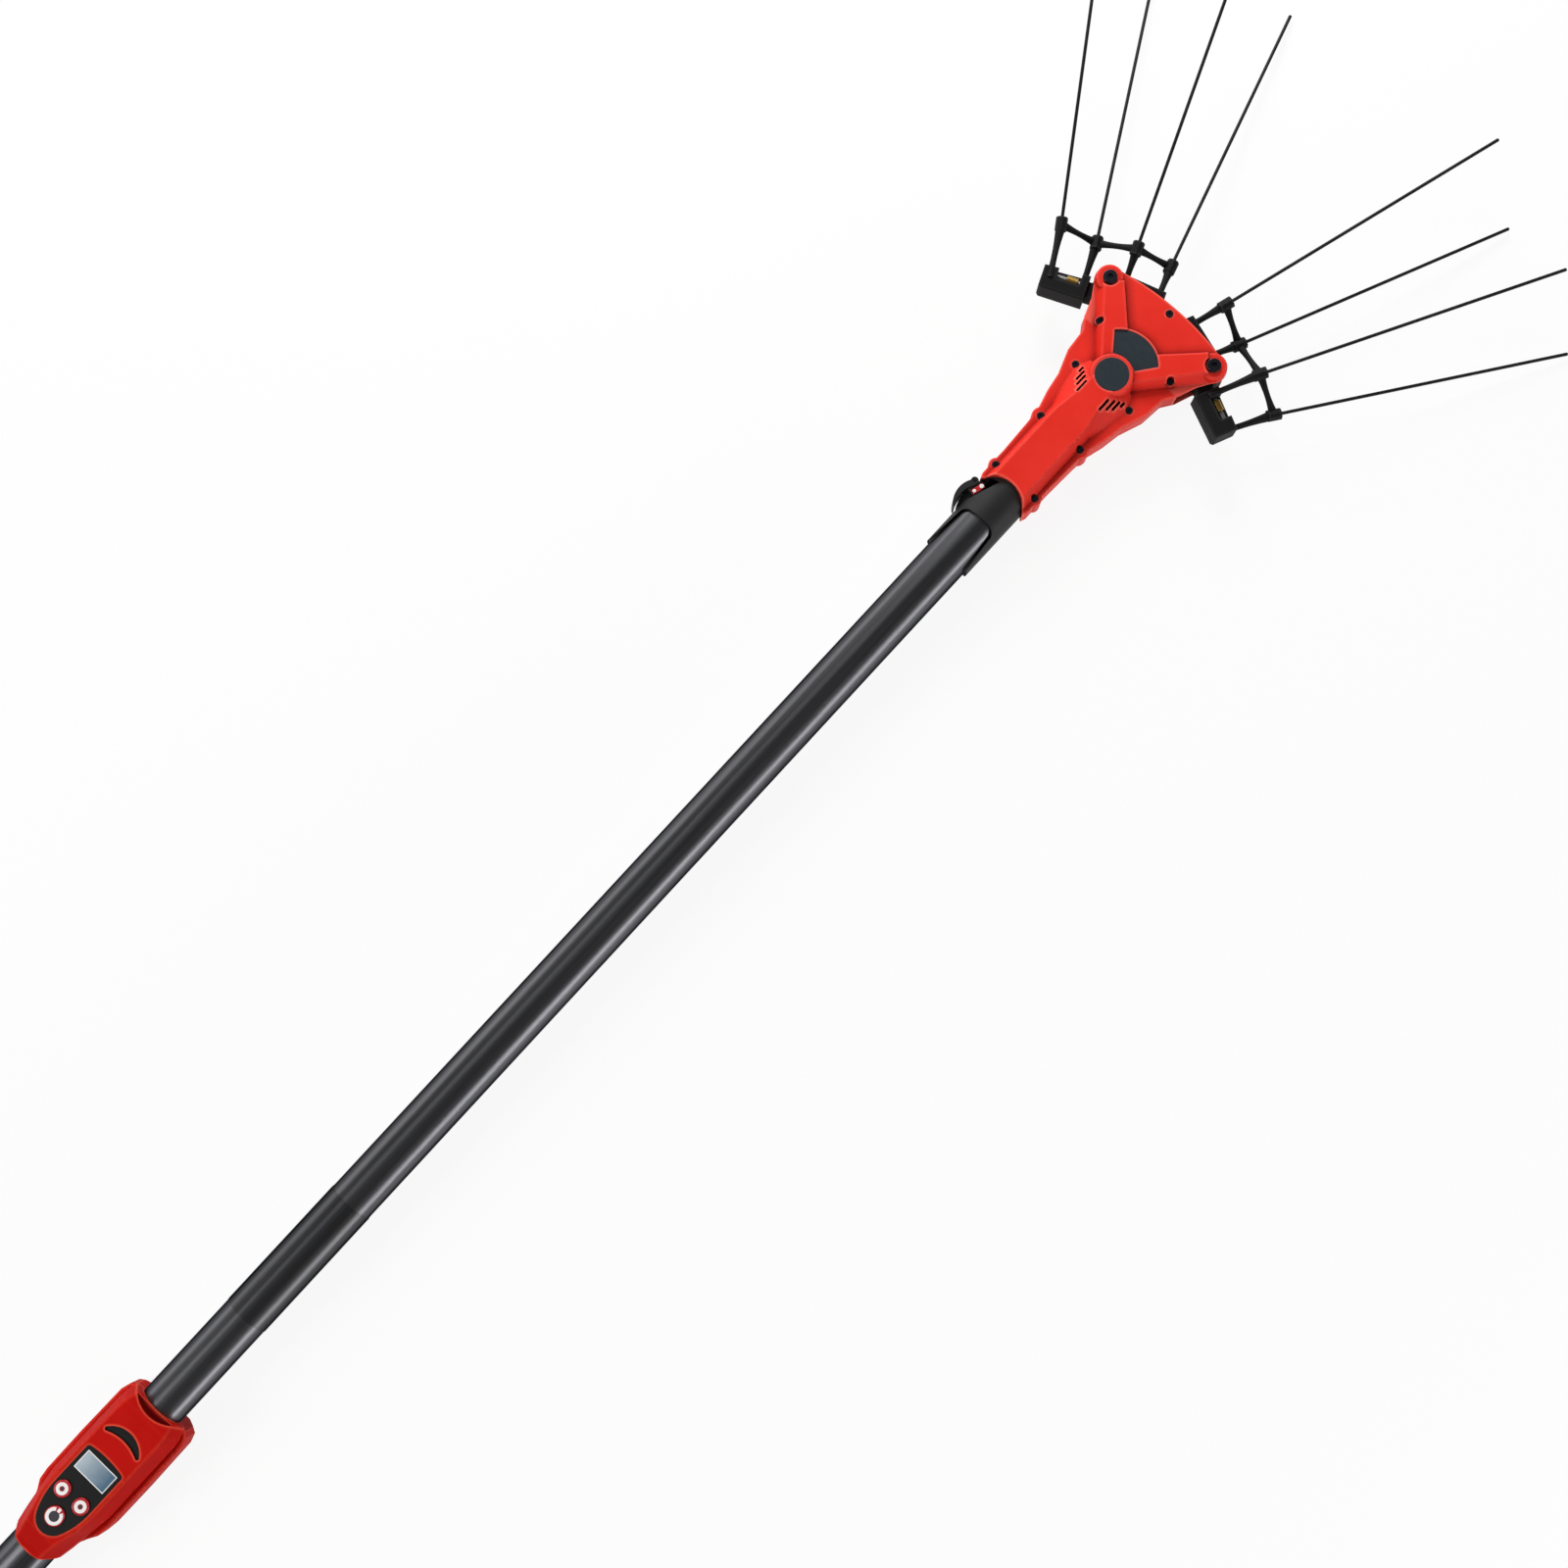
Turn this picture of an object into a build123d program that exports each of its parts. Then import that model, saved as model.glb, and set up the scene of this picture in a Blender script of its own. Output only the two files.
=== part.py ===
from build123d import *
import math
import os

os.makedirs("parts", exist_ok=True)

# Driving sizes in millimetres. +Y runs up the pole to the head, +Z is the face, origin at the butt end.
POLE_R = 20.0
POLE_WALL = 1.6
Y_BOX = 450.0
BOX_LEN = 150.0
Y_D = 1500.0
Z_REST = -36.0
WALL = 2.6
RUN_FIT = 0.06
SLIDE_GAP = 0.35
SEAT_GAP = 0.1

# Sleeve and lock lever at the neck, butt cap and power socket.
SLEEVE_R = POLE_R + 2.5
SLEEVE_WALL = 4.0
SLEEVE_END = 3.0
SCOOP_Z = 5.6
BED_LOW = -8.0
CABLE_R = 3.6
GLAND_R = 8.5
LUG_HALF = 5.0
LEVER_HALF = 11.0
LEVER_PIN_R = 1.8
PAD_Z = 9.4
PAD_T = 1.4
RIVETS = [(7.9, 0.2, 2.0), (6.0, -7.2, 1.7)]
LEVER_X = -SLEEVE_R - 3.9
LEVER_Y = Y_D - 22.2
CAP_R = POLE_R + 1.8
CAP_LEN = 30.0
CAP_WALL = 3.0
SOCKET_R = 5.5
SOCKET_DEEP = 14.0
SOCKET_BACK = 7.0
BAND_Y = Y_BOX + 99.0
BAND_SPAN = 124.0

# Head stations are measured from the lowest pair of housing screws.
PIVOT_X = 59.3
PIVOT_T = 189.0
BOSS_T = 123.0
PIVOT_Y = Y_D + PIVOT_T
BOSS_Y = Y_D + BOSS_T
E_Y = PIVOT_Y + 11.0
RIM_Y = Y_D - 18.0
SEAM_Y = Y_D - 46.0
ARM_Y = Y_D - 87.0
SLOT_Y = PIVOT_Y - 39.0
SPIGOT_Y = Y_D + 10.0
COLLAR_Y = SPIGOT_Y + 4.0
POLE_TOP = Y_D - 40.0
NECK_W = SLEEVE_R + 3.5
SCREWS = [(SLEEVE_R - 0.3, 0.0), (SLEEVE_R, 58.5), (30.7, 113.0), (40.5, 154.5)]
LOBE_R = 12.9
EAR_R = 6.4

# Rake sizes, in the rake's own frame: x outward, y along the fingers, pivot at the origin.
TOE = 23.4
RAKE_HALF = 9.0
BOLT_R = 5.0
BUSH_R = BOLT_R + 1.5
HUB_R = BUSH_R + 5.5
TINE_R = 1.5
TINE_LEN = 268.0
TINE_TILT = 5.0
SOCKET = 9.0
KNOT_X = [-48.0, -14.5, 20.5, 55.0]
KNOT_Y = 37.0
KNOT_Z = 8.0
KNOT_R = TINE_R + 3.8
KNOT_HALF = 6.0
BAR_R = 2.5
FLARE = 2.0
BASE_X = [-45.5, -14.2, 20.0, 49.5]
BASE_Y = [2.0, 4.0, -13.0, -13.0]
BASE_Z = [0.0, 0.0, 10.0, -10.0]
FAN = [-6.5, -0.7, 6.2, 11.0]
FINGER_R = 3.0
BLOCK_HALF = RAKE_HALF + 3.0
BLOCK_IN = 15.5
BLOCK_OUT = 57.0
BLOCK_LOW = -24.0
CLAMP_R = 3.0
CLAMP_X = 20.0
CLAMP_Y = -7.0
RECESS_LOW = -12.6
RECESS_WEB = 1.5
CLAMP_LEN = 26.0
CLAMP_RING = CLAMP_R + 1.6
DRIVE_ARM = 26.0
PIN_R = 3.0
DRIVE_X = PIVOT_X - DRIVE_ARM
THROW = 4.6

# Heights of the housing and of what moves inside it, from the parting plane.
SLOT_HALF = RAKE_HALF + 1.5
FLANGE_Z = SLOT_HALF + 1.5
RIDGE_RISE = SLEEVE_R + 3.0 - FLANGE_Z
BOSS_RISE = 13.0
BAND_RISE = 10.0
LOBE_RISE = 8.0
YOKE_Z = RAKE_HALF + 1.0
YOKE_T = 3.2
FAN_RISE = YOKE_Z + YOKE_T + 0.7 + WALL - FLANGE_Z
SHIELD_RISE = FAN_RISE + 3.5
BOSS_R = 21.6
BOSS_WALL = 4.6
POST_R = 4.2
SCREW_R = 1.6
SCREW_HEAD_R = 3.1
SCREW_SINK = 1.6
BAND_SEAT = 2.6
ARCH_RISE = 12.0
ARCH_R = SLEEVE_R + 7.5
CHEEK_Z = FLANGE_Z + LOBE_RISE
NUT_T = 5.0
NUT_Z = CHEEK_Z - NUT_T
NUT_R = BOLT_R + 3.0
BOLT_HEAD_R = BOLT_R + 1.2
BADGE_R = 15.0
BADGE_Z = FLANGE_Z + BOSS_RISE - 0.8
SHIELD_Z = FLANGE_Z + SHIELD_RISE - 0.6
SHIELD_TOP = FLANGE_Z + SHIELD_RISE + 0.6
VENTS = [(12.6, -24.8, 13.4), (16.8, -20.2, 12.0), (20.4, -16.6, 10.8), (23.6, -11.4, 6.4)]
VENT_W = 2.1
MOTOR_R = 18.0
MOTOR_Y = COLLAR_Y + 8.0
MOTOR_LEN = 66.0
CRANK_TOP = YOKE_Z - 1.6
CRANK_WEB = 1.6
CRANK_R = 13.0
CASE_TOP = CRANK_TOP - 6.4
CASE_LOW = Z_REST + 6.0
CASE_FROM = MOTOR_Y + MOTOR_LEN + 0.1
CASE_TO = BOSS_Y + 18.9
SHAFT_R = 4.0
CRANK_PIN_R = 2.4

# Control box heights and places, with stations measured down from its upper end.
SPLIT_Z = 2.0
SHOULDER_Z = 9.0
COVER_Z = 29.5
FASCIA_Z = 28.3
FASCIA_T = 1.6
FASCIA_W = 19.4
FASCIA_TOP = 51.5
FASCIA_END = 127.5
COLLAR_R = POLE_R + 3.6
COVER_W = 31.0
CREST_W = 23.5
BASE_W = 35.5
BASE_LEN = 132.0
BOARD_Z = 21.0
BOARD_T = 1.2
BUTTON_UP = 1.6
BUTTON_TRAVEL = 1.2
BUTTON_R = 7.0
POWER_R = 8.2
LCD_W = 33.0
LCD_H = 18.0
LCD_T = 65.0
KEY_X = 10.4
KEY_T = 92.0
POWER_T = 111.5
BOX_POST_X = 26.0
BOX_POST_T = [22.0, 96.0]
BOX_POST_R = 3.6
BOX_SINK = 5.0
MOUTH_R = 34.0
MOUTH_DEEP = 6.0
TAIL_R = 34.0
CREST_ROUND = 2.4
RIM_ROUND = 2.4
SMALL_BUTTONS = [(-KEY_X, Y_BOX - KEY_T), (KEY_X, Y_BOX - KEY_T)]
POWER_AT = (0.0, Y_BOX - POWER_T)
LCD_AT = (0.0, Y_BOX - LCD_T)
BOX_POSTS = [(s * BOX_POST_X, Y_BOX - t) for t in BOX_POST_T for s in (1, -1)]

# Cover sections: station, half-widths at the seam, the shoulder and the crest, height of the crest.
COVER_RIBS = [(0.0, COLLAR_R + 3.4, COLLAR_R + 2.4, COLLAR_R - 3.6, COVER_Z - 4.4),
              (9.0, COVER_W - 1.0, COVER_W - 1.6, CREST_W - 0.6, COVER_Z - 0.9),
              (16.0, COVER_W, COVER_W - 0.6, CREST_W, COVER_Z),
              (92.0, COVER_W, COVER_W - 0.6, CREST_W, COVER_Z),
              (108.0, COVER_W - 2.0, COVER_W - 2.8, CREST_W - 1.6, COVER_Z),
              (FASCIA_END + 1.5, COLLAR_R + 2.6, COLLAR_R + 1.2, COLLAR_R - 7.6, COVER_Z),
              (BOX_LEN - 8.0, COLLAR_R, COLLAR_R - 1.4, COLLAR_R - 10.0, COLLAR_R + 2.0),
              (BOX_LEN, COLLAR_R, COLLAR_R - 1.6, COLLAR_R - 10.6, COLLAR_R - 2.4)]

# Base sections: station, half-width, half-width of the flat underside, height of the underside.
BASE_RIBS = [(2.0, BASE_W - 7.5, BASE_W - 14.5, Z_REST + 6.0),
             (6.0, BASE_W - 3.0, BASE_W - 10.0, Z_REST + 1.6),
             (14.0, BASE_W - 0.6, BASE_W - 7.6, Z_REST),
             (60.0, BASE_W, BASE_W - 7.0, Z_REST),
             (100.0, BASE_W - 0.4, BASE_W - 7.4, Z_REST),
             (110.0, BASE_W - 1.8, BASE_W - 8.8, Z_REST + 0.6),
             (117.0, BASE_W - 6.0, BASE_W - 13.0, Z_REST + 2.6),
             (124.0, COLLAR_R + 2.4, COLLAR_R - 6.0, Z_REST + 6.0),
             (BASE_LEN, COLLAR_R - 0.6, COLLAR_R - 9.0, Z_REST + 12.0)]


def at(points, y0=Y_D):
    return [(x, y + y0) for x, y in points]


def both(points):
    return points + [(-x, y) for x, y in reversed(points)]


def rake_xy(x, y):
    t = math.radians(TOE)
    return (PIVOT_X + x * math.cos(t) + y * math.sin(t), PIVOT_Y - x * math.sin(t) + y * math.cos(t))


def lever_xy(*points):
    return [(LEVER_X + x, LEVER_Y + y) for x, y in points]


def rake_vec(angle, tilt):
    t = math.radians(TOE + angle)
    b = math.radians(tilt)
    return Vector(math.sin(t) * math.cos(b), math.cos(t) * math.cos(b), math.sin(b))


def finish(builder, label):
    builder.part.label = label
    export_step(builder.part, "parts/" + label + ".step")


# Head housing outline, right side from the rim up to the corner lobe, then the tiers that stand on it.
SIDE = [(NECK_W - 2.0, RIM_Y - Y_D), (NECK_W, RIM_Y - Y_D + 5.0), (NECK_W, 15.0), (NECK_W + 1.4, 47.0),
        (NECK_W + 2.6, 62.0), (33.6, 80.0), (36.4, 97.0), (44.6, 119.0), (46.5, 140.0),
        (PIVOT_X - 5.3, PIVOT_T - 38.0), (PIVOT_X + 0.7, PIVOT_T - 22.0), (PIVOT_X + 11.3, PIVOT_T - 5.0),
        (PIVOT_X + 4.7, PIVOT_T + 11.5)]
TOP_Y = PIVOT_T + 18.0
CAVITY_W = MOTOR_R + 0.1
RIDGE_W = CAVITY_W + 3.4
CAVITY = [(CAVITY_W, COLLAR_Y - Y_D), (CAVITY_W, 70.0), (22.6, 88.0), (26.6, 112.0), (20.6, BOSS_T + 1.0)]
RIDGE = [(RIDGE_W, RIM_Y - Y_D - 8.0), (RIDGE_W, 70.0), (26.0, 88.0), (30.0, 112.0), (24.0, BOSS_T + 1.0)]
RIDGE_TOP = [(RIDGE_W - 5.4, RIM_Y - Y_D - 8.0), (RIDGE_W - 5.4, 68.0), (12.6, 88.0), (10.6, 110.0),
             (9.6, BOSS_T + 1.0)]
CAVITY_TOP = [(CAVITY_W - 5.4, COLLAR_Y - Y_D), (CAVITY_W - 5.4, 68.0), (9.4, 88.0), (7.4, 110.0),
              (6.4, BOSS_T + 1.0)]
PAD = [(RIDGE_W, RIM_Y - Y_D - 8.0), (RIDGE_W, 58.0), (33.0, 106.0), (33.0, SLOT_Y - Y_D)]
PAD_CAVITY = [(MOTOR_R + 0.5, COLLAR_Y - Y_D), (MOTOR_R + 0.5, 58.0), (29.6, 106.0),
              (29.6, SLOT_Y - Y_D - 3.0)]
FAN_AREA = [(4.0, BOSS_T + 7.0), (PIVOT_X + 3.7, PIVOT_T + 1.0), (PIVOT_X + 0.7, PIVOT_T + 11.0)]


def along_band(share, across):
    along = share * BAND_LEN
    x = along * BAND_WAY[0] + across * BAND_WAY[1]
    return (x, BOSS_Y + along * BAND_WAY[1] - across * BAND_WAY[0])


def outline_face(side, top, y0=Y_D):
    points = at(side, y0)
    right = points[-1]
    left = (-right[0], right[1])
    with BuildSketch() as face:
        with BuildLine():
            Polyline(*points)
            ThreePointArc(right, (0, top + y0), left)
            Polyline(*[(-x, y) for x, y in reversed(points)])
            Line((-points[0][0], points[0][1]), points[0])
        make_face()
        waist = [v for v in face.vertices() if points[1][1] <= v.Y < points[-3][1]]
        if waist:
            fillet(waist, 5.0)
    return face.sketch


def inset(face, distance):
    with BuildSketch() as smaller:
        add(face)
        offset(amount=-distance, kind=Kind.INTERSECTION)
    return smaller.sketch


def outset(face, distance):
    with BuildSketch() as larger:
        add(face)
        offset(amount=distance, kind=Kind.INTERSECTION)
    return larger.sketch


def up_pole(y):
    return Plane(origin=(0, y, 0), x_dir=(1, 0, 0), z_dir=(0, 1, 0))


def box(points):
    return [(x, Y_BOX - t) for x, t in points]


def station(t):
    return Plane.XZ.offset(t - Y_BOX)


with BuildSketch() as fascia_sketch:
    with BuildLine():
        ThreePointArc(*box([(-FASCIA_W, FASCIA_TOP + 2.0), (0.0, FASCIA_TOP), (FASCIA_W, FASCIA_TOP + 2.0)]))
        Line(*box([(FASCIA_W, FASCIA_TOP + 2.0), (FASCIA_W, KEY_T)]))
        side = TangentArc(*box([(FASCIA_W, KEY_T), (FASCIA_W - 6.0, FASCIA_END - 8.6)]), tangent=(0, -1))
        ThreePointArc(side @ 1, (0.0, Y_BOX - FASCIA_END), (-(side @ 1).X, (side @ 1).Y))
        TangentArc(*box([(-FASCIA_W, KEY_T), (6.0 - FASCIA_W, FASCIA_END - 8.6)]), tangent=(0, -1))
        Line(*box([(-FASCIA_W, KEY_T), (-FASCIA_W, FASCIA_TOP + 2.0)]))
    make_face()
    fillet(fascia_sketch.vertices().group_by(Axis.Y)[-1], 2.5)
FASCIA_FACE = fascia_sketch.sketch
with BuildSketch() as crescent_sketch:
    with BuildLine():
        ThreePointArc(*box([(-17.2, 34.8), (0.0, 26.4), (17.2, 34.8)]))
        ThreePointArc(*box([(17.2, 34.8), (0.0, 31.0), (-17.2, 34.8)]))
    make_face()
    offset(amount=1.7)
CRESCENT_FACE = crescent_sketch.sketch
with BuildSketch() as shield_sketch:
    with BuildLine():
        Line(*at([(-12.2, 15.8), (-25.2, 32.8)], BOSS_Y))
        ThreePointArc(*at([(-25.2, 32.8), (0.0, 44.5), (25.2, 32.8)], BOSS_Y))
        Line(*at([(25.2, 32.8), (12.2, 15.8)], BOSS_Y))
        ThreePointArc(*at([(12.2, 15.8), (0.0, 19.4), (-12.2, 15.8)], BOSS_Y))
    make_face()
SHIELD_FACE = shield_sketch.sketch
HEAD_FACE = outline_face(SIDE, TOP_Y)
FAN_FACE = outline_face(FAN_AREA, TOP_Y)
BAND_LEN = math.hypot(PIVOT_X, PIVOT_T - BOSS_T)
BAND_WAY = (PIVOT_X / BAND_LEN, (PIVOT_T - BOSS_T) / BAND_LEN)
SEATS = [(x, y, FLANGE_Z - SCREW_SINK) for x, y in SCREWS[:3]] + [(*SCREWS[3], FLANGE_Z + BAND_SEAT)]
POSTS = [(s * x, Y_D + y, z) for x, y, z in SEATS for s in (1, -1)]
POSTS.append((0.0, E_Y, FLANGE_Z + FAN_RISE - SCREW_SINK))
POST_SPOTS = [(x, y) for x, y, z in POSTS]
CORNERS = [(PIVOT_X, PIVOT_Y), (-PIVOT_X, PIVOT_Y)]

# Raised tiers of the housing, each with its upper edge rounded before it joins a shell.
with BuildPart() as ridge_tier:
    with BuildSketch(Plane.XY.offset(FLANGE_Z)):
        Polygon(*at(both(RIDGE)), align=None)
    with BuildSketch(Plane.XY.offset(FLANGE_Z + RIDGE_RISE)):
        Polygon(*at(both(RIDGE_TOP)), align=None)
    loft(ruled=True)
    fillet(ridge_tier.edges().group_by(Axis.Z)[-1], 2.0)

with BuildPart() as boss_tier:
    with BuildSketch(Plane.XY.offset(FLANGE_Z)):
        with Locations((0, BOSS_Y)):
            Circle(BOSS_R)
    extrude(amount=BOSS_RISE, taper=14)
    fillet(boss_tier.edges().group_by(Axis.Z)[-1], 1.4)

with BuildPart() as lobe_tier:
    with BuildSketch(Plane.XY.offset(FLANGE_Z)):
        with Locations((PIVOT_X, PIVOT_Y)):
            Circle(LOBE_R)
    extrude(amount=LOBE_RISE, taper=8)
    fillet(lobe_tier.edges().group_by(Axis.Z)[-1], 1.8)

with BuildPart() as band_tier:
    with BuildSketch(Plane.XY.offset(FLANGE_Z)):
        Polygon(along_band(0.0, -18.4), along_band(0.0, LOBE_R), along_band(1.0, LOBE_R - 0.6),
                along_band(1.0, -LOBE_R), align=None)
    with BuildSketch(Plane.XY.offset(FLANGE_Z + BAND_RISE)):
        Polygon(along_band(0.0, -17.0), along_band(0.0, 9.0), along_band(0.96, 5.0),
                along_band(0.96, 0.6 - LOBE_R), align=None)
    loft()
    fillet(band_tier.edges().group_by(Axis.Z)[-1], 1.6)

with BuildPart() as pad_tier:
    with BuildSketch(Plane.XY.offset(FLANGE_Z)):
        Polygon(*at(both(PAD)), align=None)
    extrude(amount=-Z_REST - FLANGE_Z, taper=12)
    fillet(pad_tier.edges().group_by(Axis.Z)[-1], 2.0)

with BuildPart() as flange_tier:
    with BuildSketch():
        add(HEAD_FACE)
        with Locations(*CORNERS):
            Circle(LOBE_R)
    extrude(amount=FLANGE_Z)
    fillet(flange_tier.edges().group_by(Axis.Z)[-1], 1.0)

with BuildPart() as ear_tier:
    with BuildSketch():
        with Locations(*POST_SPOTS[:2]):
            Circle(EAR_R)
        with Locations(*POST_SPOTS[2:4]):
            Circle(EAR_R + 1.6)
    extrude(amount=FLANGE_Z)
    fillet(ear_tier.edges().group_by(Axis.Z)[-1], 1.0)

# Front half of the housing: flange plate, neck ridge, round boss, two bands and the lower fan between them.
with BuildPart() as front_shell:
    add(flange_tier.part)
    add(ear_tier.part)
    with BuildSketch(Plane.XY.offset(FLANGE_Z - 2.0)):
        add(FAN_FACE)
    extrude(amount=FAN_RISE + 2.0)
    with BuildSketch(Plane.XY.offset(FLANGE_Z)):
        add(outset(SHIELD_FACE, 1.8))
    extrude(amount=SHIELD_RISE)
    add(ridge_tier.part)
    add(boss_tier.part)
    for tier in (lobe_tier, band_tier):
        add(tier.part)
        add(tier.part.mirror(Plane.YZ))
    # Hollow inside: flange, ridge, boss, bands and fan each keep one wall.
    with BuildSketch():
        add(inset(HEAD_FACE, WALL))
        with Locations((0, (COLLAR_Y + SLOT_Y) / 2)):
            Rectangle(400.0, SLOT_Y - COLLAR_Y, mode=Mode.INTERSECT)
    extrude(amount=FLANGE_Z - WALL, mode=Mode.SUBTRACT)
    with BuildSketch(Plane.XY.offset(FLANGE_Z - WALL)):
        Polygon(*at(both(CAVITY)), align=None)
    with BuildSketch(Plane.XY.offset(FLANGE_Z - WALL + RIDGE_RISE)):
        Polygon(*at(both(CAVITY_TOP)), align=None)
    loft(ruled=True, mode=Mode.SUBTRACT)
    with BuildSketch():
        with Locations((0, BOSS_Y)):
            Circle(BOSS_R - BOSS_WALL)
    extrude(amount=FLANGE_Z + BOSS_RISE - WALL, mode=Mode.SUBTRACT)
    with BuildSketch():
        add(inset(FAN_FACE, WALL))
    extrude(amount=FLANGE_Z + FAN_RISE - WALL, mode=Mode.SUBTRACT)
    with BuildSketch() as band_hollow:
        Polygon(along_band(0.1, -13.0), along_band(0.1, 5.0), along_band(0.68, 3.0),
                along_band(0.68, -10.0), align=None)
        mirror(about=Plane.YZ)
    extrude(amount=FLANGE_Z + BAND_RISE - WALL, mode=Mode.SUBTRACT)
    # Open slot in which the rakes swing, with the two pivot lobes left as cheeks.
    with BuildSketch():
        with Locations((0, SLOT_Y + 100.0)):
            Rectangle(400.0, 200.0)
    extrude(amount=SLOT_HALF, mode=Mode.SUBTRACT)
    # Screw posts reach the parting plane, and the top centre post stands between the rakes.
    for x, y, seat in POSTS:
        with BuildSketch():
            with Locations((x, y)):
                Circle(POST_R)
        extrude(amount=seat + SCREW_SINK)
    # Arched lower rim, sleeve socket, pivot and screw holes, vents and the two plate recesses.
    with BuildSketch():
        with Locations((0, RIM_Y + ARCH_RISE - ARCH_R)):
            Circle(ARCH_R)
    extrude(amount=60.0, mode=Mode.SUBTRACT)
    with BuildSketch(up_pole(RIM_Y - 20.0)):
        Circle(SLEEVE_R + SEAT_GAP)
    extrude(amount=SPIGOT_Y - RIM_Y + 20.0 + SEAT_GAP, mode=Mode.SUBTRACT)
    with BuildSketch(up_pole(SPIGOT_Y)):
        Circle(GLAND_R)
    extrude(amount=COLLAR_Y - SPIGOT_Y, mode=Mode.SUBTRACT)
    with BuildSketch():
        with Locations(*CORNERS):
            Circle(BOLT_R)
        with Locations(*POST_SPOTS):
            Circle(SCREW_R + 0.1)
    extrude(amount=60.0, mode=Mode.SUBTRACT)
    for x, y, seat in POSTS:
        with BuildSketch(Plane.XY.offset(seat)):
            with Locations((x, y)):
                Circle(SCREW_HEAD_R + 0.2)
        extrude(amount=30.0, mode=Mode.SUBTRACT)
    with BuildSketch(Plane.XY.offset(CHEEK_Z)):
        with Locations(*CORNERS):
            Circle(BOLT_HEAD_R + 1.8)
    extrude(amount=30.0, mode=Mode.SUBTRACT)
    with BuildSketch(Plane.XY.offset(FLANGE_Z - 2 * WALL)):
        for x, y, length in VENTS:
            with Locations((x, BOSS_Y + y), (-x, BOSS_Y + y)):
                SlotOverall(length, VENT_W, rotation=90)
    extrude(amount=30.0, mode=Mode.SUBTRACT)
    with BuildSketch(Plane.XY.offset(BADGE_Z)):
        with Locations((0, BOSS_Y)):
            Circle(BADGE_R)
    extrude(amount=5.0, mode=Mode.SUBTRACT)
    with BuildSketch(Plane.XY.offset(SHIELD_Z)):
        add(SHIELD_FACE)
    extrude(amount=20.0, mode=Mode.SUBTRACT)
finish(front_shell, "head_front_shell")

# Back half, drawn upward as a depth and turned over: flange, deep motor and gear pad, pivot cheeks.
with BuildPart() as back_shell:
    add(flange_tier.part)
    add(ear_tier.part)
    add(pad_tier.part)
    for tier in (lobe_tier, band_tier):
        add(tier.part)
        add(tier.part.mirror(Plane.YZ))
    with BuildSketch():
        add(inset(HEAD_FACE, WALL))
        with Locations((0, (COLLAR_Y + SLOT_Y) / 2)):
            Rectangle(400.0, SLOT_Y - COLLAR_Y, mode=Mode.INTERSECT)
    extrude(amount=FLANGE_Z - WALL, mode=Mode.SUBTRACT)
    with BuildSketch(Plane.XY.offset(FLANGE_Z - WALL)):
        Polygon(*at(both(PAD_CAVITY)), align=None)
    extrude(amount=-Z_REST - FLANGE_Z, taper=12, mode=Mode.SUBTRACT)
    with BuildSketch():
        with Locations((0, SLOT_Y + 100.0)):
            Rectangle(400.0, 200.0)
    extrude(amount=SLOT_HALF, mode=Mode.SUBTRACT)
    with BuildSketch():
        with Locations(*POST_SPOTS):
            Circle(POST_R)
    extrude(amount=FLANGE_Z)
    with BuildSketch():
        with Locations((0, RIM_Y + ARCH_RISE - ARCH_R)):
            Circle(ARCH_R)
    extrude(amount=60.0, mode=Mode.SUBTRACT)
    with BuildSketch(up_pole(RIM_Y - 20.0)):
        Circle(SLEEVE_R + SEAT_GAP)
    extrude(amount=SPIGOT_Y - RIM_Y + 20.0 + SEAT_GAP, mode=Mode.SUBTRACT)
    with BuildSketch(up_pole(SPIGOT_Y)):
        Circle(GLAND_R)
    extrude(amount=COLLAR_Y - SPIGOT_Y, mode=Mode.SUBTRACT)
    with BuildSketch():
        with Locations(*CORNERS):
            Circle(BOLT_R)
    extrude(amount=60.0, mode=Mode.SUBTRACT)
    with BuildSketch():
        with Locations(*POST_SPOTS):
            Circle(SCREW_R + 0.1)
    extrude(amount=FLANGE_Z - 2.0, mode=Mode.SUBTRACT)
    with BuildSketch(Plane.XY.offset(NUT_Z)):
        with Locations(*CORNERS):
            RegularPolygon(NUT_R + 0.2, 6)
    extrude(amount=40.0, mode=Mode.SUBTRACT)
    mirror(about=Plane.XY, mode=Mode.REPLACE)
finish(back_shell, "head_back_shell")

# Bare shield plate and bare round badge, set into the front half.
with BuildPart() as shield:
    with BuildSketch(Plane.XY.offset(SHIELD_Z)):
        add(inset(SHIELD_FACE, SEAT_GAP))
    extrude(amount=SHIELD_TOP - SHIELD_Z)
finish(shield, "shield_plate")

with BuildPart() as badge:
    with BuildSketch(Plane.XY.offset(BADGE_Z)):
        with Locations((0, BOSS_Y)):
            Circle(BADGE_R - SEAT_GAP)
    extrude(amount=FLANGE_Z + BOSS_RISE + 0.6 - BADGE_Z)
    fillet(badge.edges().group_by(Axis.Z)[-1], 0.5)
finish(badge, "round_badge")

# Housing screws share one node: dark pan heads with a cross recess, shanks into the back posts.
with BuildPart() as screws:
    for x, y, seat in POSTS:
        with BuildSketch(Plane.XY.offset(seat)):
            with Locations((x, y)):
                Circle(SCREW_HEAD_R)
        extrude(amount=2.4)
        with BuildSketch(Plane.XY.offset(seat)):
            with Locations((x, y)):
                Circle(SCREW_R)
        extrude(amount=-seat - FLANGE_Z + 3.0)
        with BuildSketch(Plane.XY.offset(seat + 1.2)):
            with Locations((x, y)):
                Rectangle(3.4, 0.9)
                Rectangle(0.9, 3.4)
        extrude(amount=4.0, mode=Mode.SUBTRACT)
finish(screws, "housing_screws")

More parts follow.
